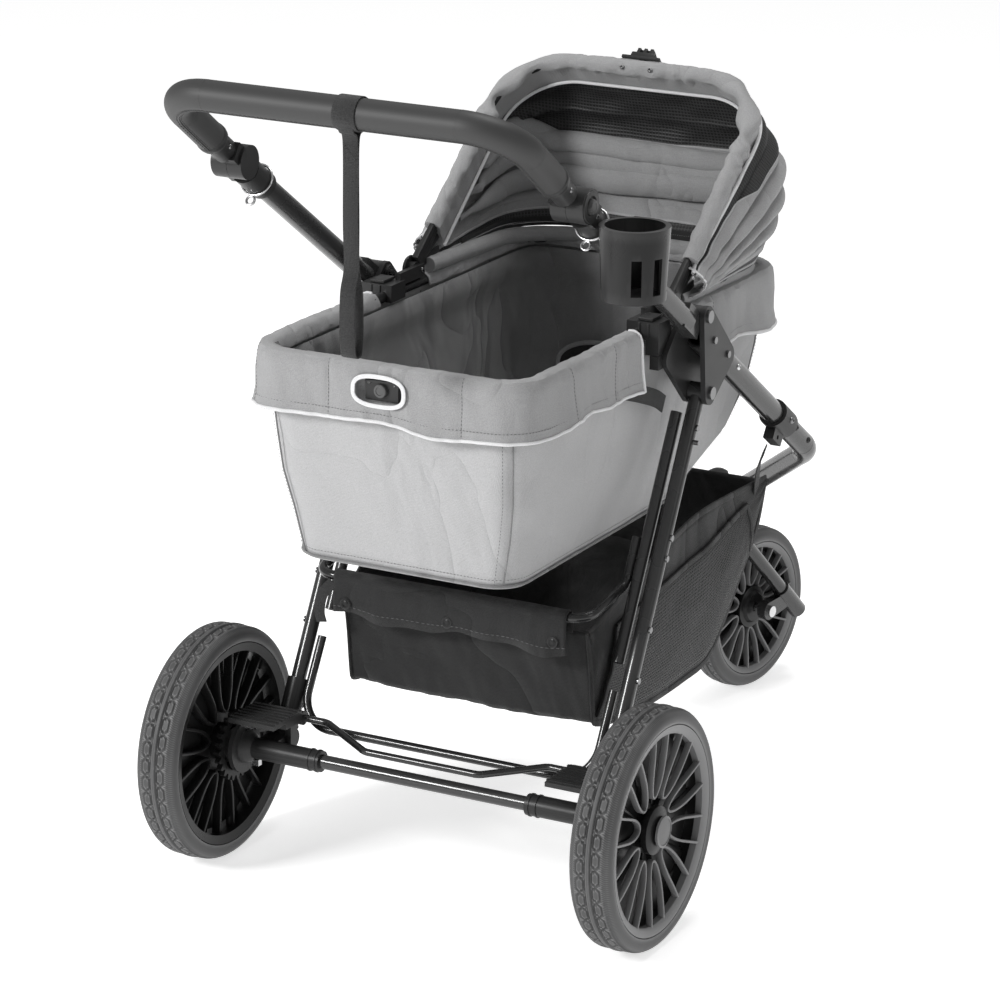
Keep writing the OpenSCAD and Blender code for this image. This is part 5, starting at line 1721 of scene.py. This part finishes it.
@dataclass
class Basket:
    """Black cloth basket slung between the basket bar and the front tubes."""

    half: float = 0.182
    outline: tuple = ((0.078, 0.352), (0.088, 0.300), (0.096, 0.242), (0.106, 0.227), (0.170, 0.214),
                      (0.250, 0.208),
                      (0.350, 0.208), (0.420, 0.214), (0.470, 0.252), (0.520, 0.303), (0.565, 0.352),
                      (0.590, 0.412))
    top_line: tuple = ((0.078, 0.352), (0.140, 0.366), (0.200, 0.384), (0.300, 0.405), (0.400, 0.419),
                       (0.590, 0.414))
    bar_y: float = 0.060
    bar_radius: float = 0.006
    bar_z: float = field(default_factory=lambda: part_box("basket_bar")[0].z + 0.006)

    def lay(self, points: Sequence, x: float) -> np.ndarray:
        """Side-view points as places in the frame."""
        p = np.array(points)
        return np.stack([np.full(len(p), x), p[:, 0] + AXLE.y, p[:, 1]], 1)

    def blend(self, thing: bpy.types.Object) -> bpy.types.Object:
        """Bakes a piece's placement into its mesh."""
        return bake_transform(thing)

    def edge(self, ahead: np.ndarray, across: np.ndarray) -> np.ndarray:
        """Sideways places on the cloth: its back left edge stands in from the bar's end."""
        t = np.clip((ahead - 0.085) / 0.12, 0, 1)
        inset = np.where(across < 0, 0.024, 0.0) * (1 - (3 - 2 * t) * t ** 2)
        return across * (self.half - inset)

    def floor(self) -> None:
        """Back, floor and front in one slack length of cloth."""
        line = curve_through(self.lay(self.outline, 0.0), 0.006)
        across = np.linspace(-1, 1, 61)
        crown = (1 - across ** 2)
        s = np.linspace(0, 1, len(line))
        ahead = tangents(line, False)
        normal = np.stack([np.zeros(len(line)), -ahead[:, 2], ahead[:, 1]], 1)
        belly = -0.0050 * np.sin(math.pi * np.clip(s, 0, 1)) ** 0.5
        crease = 0.0022 * waves(across[None] * 6, s[:, None] * 12, 31)
        reach = self.edge(line[:, 1:2] - AXLE.y, across[None])
        grid = np.repeat(line[:, None], len(across), 1)
        grid[..., 0] = reach
        lift = belly[:, None] * crown[None] + crease * crown[None] ** 0.3
        grid = grid + lift[..., None] * normal[:, None]
        thing = loft("basket_floor", grid, BASKET_CLOTH, False)
        settle(thicken(thing, 0.0018))
        self.blend(thing)
        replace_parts(thing, "basket")

    def sides(self) -> None:
        """Side walls with a net pocket and hems."""
        low = curve_through(self.lay(self.outline, 0.0), 0.006)
        top = curve_through(self.lay(self.top_line, 0.0), 0.006)
        count = 90
        low = low[np.linspace(0, len(low) - 1, count).astype(int)]
        top = top[np.linspace(0, len(top) - 1, count).astype(int)]
        for side, sign in SIDES:
            share = np.linspace(0, 1, 22)
            wall = low[:, None] * (1 - share[None, :, None]) + top[:, None] * share[None, :, None]
            bow = 0.0035 * np.sin(math.pi * share)[None] + 0.0020 * waves(np.arange(count)[:, None] * 0.09,
                                                                          share[None] * 4, 41)
            edge = np.abs(self.edge(wall[..., 1] - AXLE.y, np.full(wall.shape[:2], float(sign))))
            wall[..., 0] = sign * (edge + bow * np.sin(math.pi * share)[None] ** 0.4)
            thing = loft(side + "_basket_side", wall, BASKET_CLOTH, False)
            settle(thicken(thing, 0.0016))
            self.blend(thing)
            pocket = wall[16:78, 1:17].copy()
            pocket[..., 0] += sign * (0.0030 + 0.0035 * np.sin(math.pi * np.linspace(0, 1, 16))[None])
            net = loft(side + "_pocket_net", pocket, POCKET_NET, False, mapped=True)
            settle(thicken(net, 0.0007))
            self.blend(net)
            hems = {"pocket_hem": pocket[:, -1], "pocket_back": pocket[0], "pocket_front": pocket[-1],
                    "top_hem": wall[:, -1], "foot_hem": wall[:, 0]}
            for name, path in hems.items():
                self.blend(sweep(f"{side}_{name}", resample(path, 0.005), bar(0.0036, 0.0085, 0.0014),
                                 BASKET_CLOTH,
                                 side=RIGHT))

    def cuff(self) -> None:
        """Cloth rolled over the basket bar, with its flap, stitches and snaps."""
        x = np.linspace(-0.158, 0.166, 87)
        z = self.bar_z
        y = AXLE.y + self.bar_y
        turn = np.radians(np.linspace(-20, 200, 15))
        section = [(self.bar_radius + 0.0030) * np.array([-math.cos(a), math.sin(a)]) for a in turn]
        section = np.array([(-0.0085, -0.046), (-0.0105, -0.030), (-0.0105, -0.014), *section,
                            (0.0098, -0.012), (0.0085, -0.022)])
        fall = np.clip(-section[:, 1] / 0.046, 0, 1)
        sway = 0.004 * np.sin(x * 31 + 0.5) + 0.0025 * np.sin(x * 83)
        crumple = 0.0013 * waves(x[:, None] * 70, section[None, :, 1] * 160, 51)
        grid = np.zeros((len(x), len(section), 3))
        grid[..., 0] = x[:, None]
        grid[..., 1] = y + section[None, :, 0] + crumple - 0.002 * fall[None] * np.sin(x * 60)[:, None]
        grid[..., 2] = z + section[None, :, 1] + fall[None] ** 2 * sway[:, None]
        thing = loft("basket_cuff", grid, BASKET_CLOTH, False)
        settle(thicken(thing, 0.0018))
        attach(thing, "rear_frame")
        row = grid[:, 1] + np.array([0, -0.0014, -0.006])
        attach(stitches("cuff_stitches", row, THREAD_PALE, 0.0045, 0.0025, 0.0005), "rear_frame")
        for k, place in enumerate((-0.140, 0.004, 0.150)):
            spot = np.array([place, y - 0.0118, z - 0.030])
            dome = [(0.0075, -0.001), (0.0078, 0.0006), (0.0066, 0.0018), (0.0045, 0.0013), (0.003, 0.0021),
                    (0.0004, 0.0024)]
            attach(lathe(f"snap_{k}", spot, BACKWARD, dome, PLASTIC, 32), "rear_frame")

    def straps(self) -> None:
        """Tabs that hang the basket's front corners on the tube clamps, and a tie at the back."""
        for side, sign in SIDES:
            route = curve_through([at(sign * 183, 560, 405), at(sign * 190, 545, 425),
                                   at(sign * 203, 522, 455),
                                   at(sign * 216, 510, 478)], 0.004)
            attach(sweep(side + "_front_tab", route, bar(0.020, 0.0018, 0.0006), WEBBING,
                          side=np.array([0, 0.7, 0.7])), "frame")
            if sign == Side.LEFT.value:
                tie = curve_through([at(-160, 52, 368), at(-172, 47, 352), at(-176, 46, 330),
                                     at(-174, 48, 315)], 0.004)
                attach(sweep(side + "_back_tie", tie, bar(0.015, 0.0015, 0.0005), WEBBING, side=RIGHT),
                        "rear_frame")


# ---------- fittings ----------


def dress_nodes() -> None:
    """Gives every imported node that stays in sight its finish."""
    kinds = {
        PAINT: ("front_tube_left", "front_tube_right", "push_tube_left", "push_tube_right", "handle_bar",
                "latch_links",
                "rear_leg_left", "rear_leg_right", "lower_crossbar", "basket_bar", "rear_axle", "brake_link",
                "front_fork", "rim_frame"),
        DARK_STEEL: ("hinge_pins", "leg_rivets"),
        STEEL: ("d_rings", "stub_axles", "wheel_release_left", "wheel_release_right",
                "brake_pin_left", "brake_pin_right", "front_axle"),
        PLASTIC: ("hinge_bracket_left", "hinge_bracket_right", "fork_crown", "tube_clamps",
                  "carrier_adapters",
                  "hinge_housing_left", "hinge_housing_right", "cup_clamp", "handle_hub_left",
                  "handle_hub_right",
                  "axle_bracket_left", "axle_bracket_right", "brake_pedal_left", "brake_pedal_right",
                  "carrier_clips",
                  "latch_block", "hood_bow"),
        SOFT_PLASTIC: ("cup_holder",),
        GRIP: ("handle_grip",),
        BUTTON: ("hinge_button_left", "hinge_button_right", "latch_button"),
    }
    for finish, names in kinds.items():
        for name in names:
            thing = frame["nodes"][name]
            thing.data.materials.clear()
            thing.data.materials.append(finish.material())


@dataclass
class FrameFittings:
    """Rivets, screws, axle collars, axle cones and a stem cap on the bare frame."""

    side_x: float = 225.0
    bracket_half: float = 13.4

    def brackets(self) -> None:
        """Rivets and screws on the axle brackets and the tube clamps."""
        joint = at(0, 262, 697)
        for side, sign in SIDES:
            outward = sign * RIGHT
            x = sign * self.side_x * MM
            for k, s in enumerate((0.128, 0.352, 0.400)):
                spot = joint + DOWN_TUBE * s + np.array([x, 0, 0]) + outward * 0.0150
                screw(f"{side}_tube_rivet_{k}", spot, outward, 0.0042, "frame", PLASTIC if k else STEEL)
            clamp = joint + DOWN_TUBE * 0.322 + np.array([x, 0, 0]) + outward * 0.0192
            screw(side + "_clamp_screw", clamp, outward, 0.0045, "frame")
            for k, (ahead, z) in enumerate(((62, 192), (49, 168))):
                for name, face in (("foot_screw", 1), ("foot_inner_screw", -1)):
                    spot = at(sign * (self.side_x + face * self.bracket_half), ahead, z)
                    screw(f"{side}_{name}_{k}", spot, face * outward, 0.0036, "rear_frame")
            for k, x_mm in enumerate((150, 160)):
                collar = lathe(f"{side}_axle_collar_{k}", at(sign * x_mm, 0, 150), outward,
                               [(0.0136, -0.0015), (0.0146, -0.001), (0.0146, 0.001), (0.0136, 0.0015)],
                               PLASTIC, 40, True)
                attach(collar, "rear_frame")
            cone = lathe(side + "_axle_cone", at(sign * 240, 0, 150), outward,
                         [(0.0135, 0.002), (0.018, 0.006), (0.0205, 0.011), (0.0215, 0.0165),
                          (0.0135, 0.0165)],
                         PLASTIC, 48, True)
            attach(cone, "rear_frame")

    def fork(self) -> None:
        """Cap over the fork's stem."""
        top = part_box("fork_crown")[1].z
        spot = np.array([0, joint_point("fork_swivel")[1], top])
        cap = lathe("stem_cap", spot + UP * 0.0075, UP,
                    [(0.0132, -0.001), (0.0145, 0.0004), (0.0135, 0.004), (0.008, 0.007),
                    (0.0005, 0.008)], PLASTIC, 40)
        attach(cap, "fork")


# ---------- studio ----------


@dataclass
class Studio:
    """Pale floor, soft light and the camera."""

    eye: tuple = (2.2523, -4.4451, 1.9484)
    azimuth: float = 0.488
    elevation: float = 0.300
    roll: float = 0.011
    lens: float = 145.3

    def camera(self) -> None:
        """Camera behind and to the right of the stroller."""
        a, e = self.azimuth, self.elevation
        back = Vector((math.sin(a) * math.cos(e), -math.cos(a) * math.cos(e), math.sin(e)))
        right = (-back).cross(Vector((0, 0, 1))).normalized()
        up = right.cross(-back)
        r2 = math.cos(self.roll) * right + math.sin(self.roll) * up
        u2 = -math.sin(self.roll) * right + math.cos(self.roll) * up
        data = bpy.data.cameras.new("camera")
        data.lens, data.sensor_width = self.lens, 36.0
        data.clip_start, data.clip_end = 0.1, 60.0
        thing = add_object("camera", data)
        matrix = Matrix((r2, u2, back)).transposed().to_4x4()
        matrix.translation = Vector(self.eye)
        thing.matrix_world = matrix
        bpy.context.scene.camera = thing

    def lamp(self, name: str, place: tuple, aim: tuple, size: float, power: float) -> None:
        """One soft box.

        Args:
            name: its name.
            place: where it stands.
            aim: the point it faces.
            size: its side in metres.
            power: its power in watts.
        """
        data = bpy.data.lights.new(name, "AREA")
        data.size, data.energy = size, power
        thing = add_object(name, data)
        thing.location = place
        thing.rotation_mode = "QUATERNION"
        thing.rotation_quaternion = (Vector(aim) - Vector(place)).to_track_quat("-Z", "Y")

    def light(self) -> None:
        """Even surroundings with a key from behind the left and a fill from the right."""
        scene = bpy.context.scene
        scene.view_settings.view_transform = "Standard"
        scene.world = scene.world or bpy.data.worlds.new("studio")
        scene.world.use_nodes = True
        tree = Tree(scene.world.node_tree)
        shade = scene.world.node_tree.nodes["Background"]
        shade.inputs["Color"].default_value = (1.0, 1.0, 1.0, 1.0)
        seen = tree.add("ShaderNodeLightPath").outputs["Is Camera Ray"]
        tree.join(tree.span(seen, 0.0, 1.0, (0.36, 1.05)), shade.inputs["Strength"])
        self.lamp("key", (-2.0, -3.8, 2.4), (0, 0, 0.5), 0.9, 128)
        self.lamp("fill", (3.6, -0.6, 2.2), (0, 0, 0.5), 1.2, 7)
        self.lamp("top", (0.2, 0.9, 4.2), (0, 0, 0.4), 1.4, 60)

    def floor(self) -> None:
        """Pale floor under the wheels."""
        mesh = bpy.data.meshes.new("studio_floor")
        far, z = 14, -0.0005
        mesh.from_pydata([(-far, -far, z), (far, -far, z), (far, far, z), (-far, far, z)], [], [(0, 1, 2, 3)])
        pale = bpy.data.materials.new("pale_floor")
        pale.use_nodes = True
        shader = pale.node_tree.nodes["Principled BSDF"]
        fill(shader, {"Base Color": (0.85, 0.85, 0.85, 1.0), "Roughness": 0.9,
                      "Emission Color": (1.0, 1.0, 1.0, 1.0), "Emission Strength": 0.62})
        mesh.materials.append(pale)
        add_object("studio_floor", mesh)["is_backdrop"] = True


def main() -> None:
    """Builds everything in order and reports each piece."""
    logging.basicConfig(level=logging.INFO, format="%(name)s: %(message)s")
    studio = Studio()
    studio.camera()
    studio.light()
    studio.floor()
    dress_nodes()
    build_wheels()
    handle = Handle()
    handle.seam()
    handle.fittings()
    handle.strap()
    carrier = Carrier()
    carrier.walls()
    carrier.seams()
    carrier.collar()
    carrier.pad()
    carrier.fittings()
    hood = Hood()
    hood.band()
    hood.canopy()
    hood.arms()
    hood.buckle()
    basket = Basket()
    basket.floor()
    basket.sides()
    basket.cuff()
    basket.straps()
    fittings = FrameFittings()
    fittings.brackets()
    fittings.fork()
    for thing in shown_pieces():
        log.info("%s has %d points", thing.name, len(thing.data.vertices))


if __name__ == "__main__":
    main()
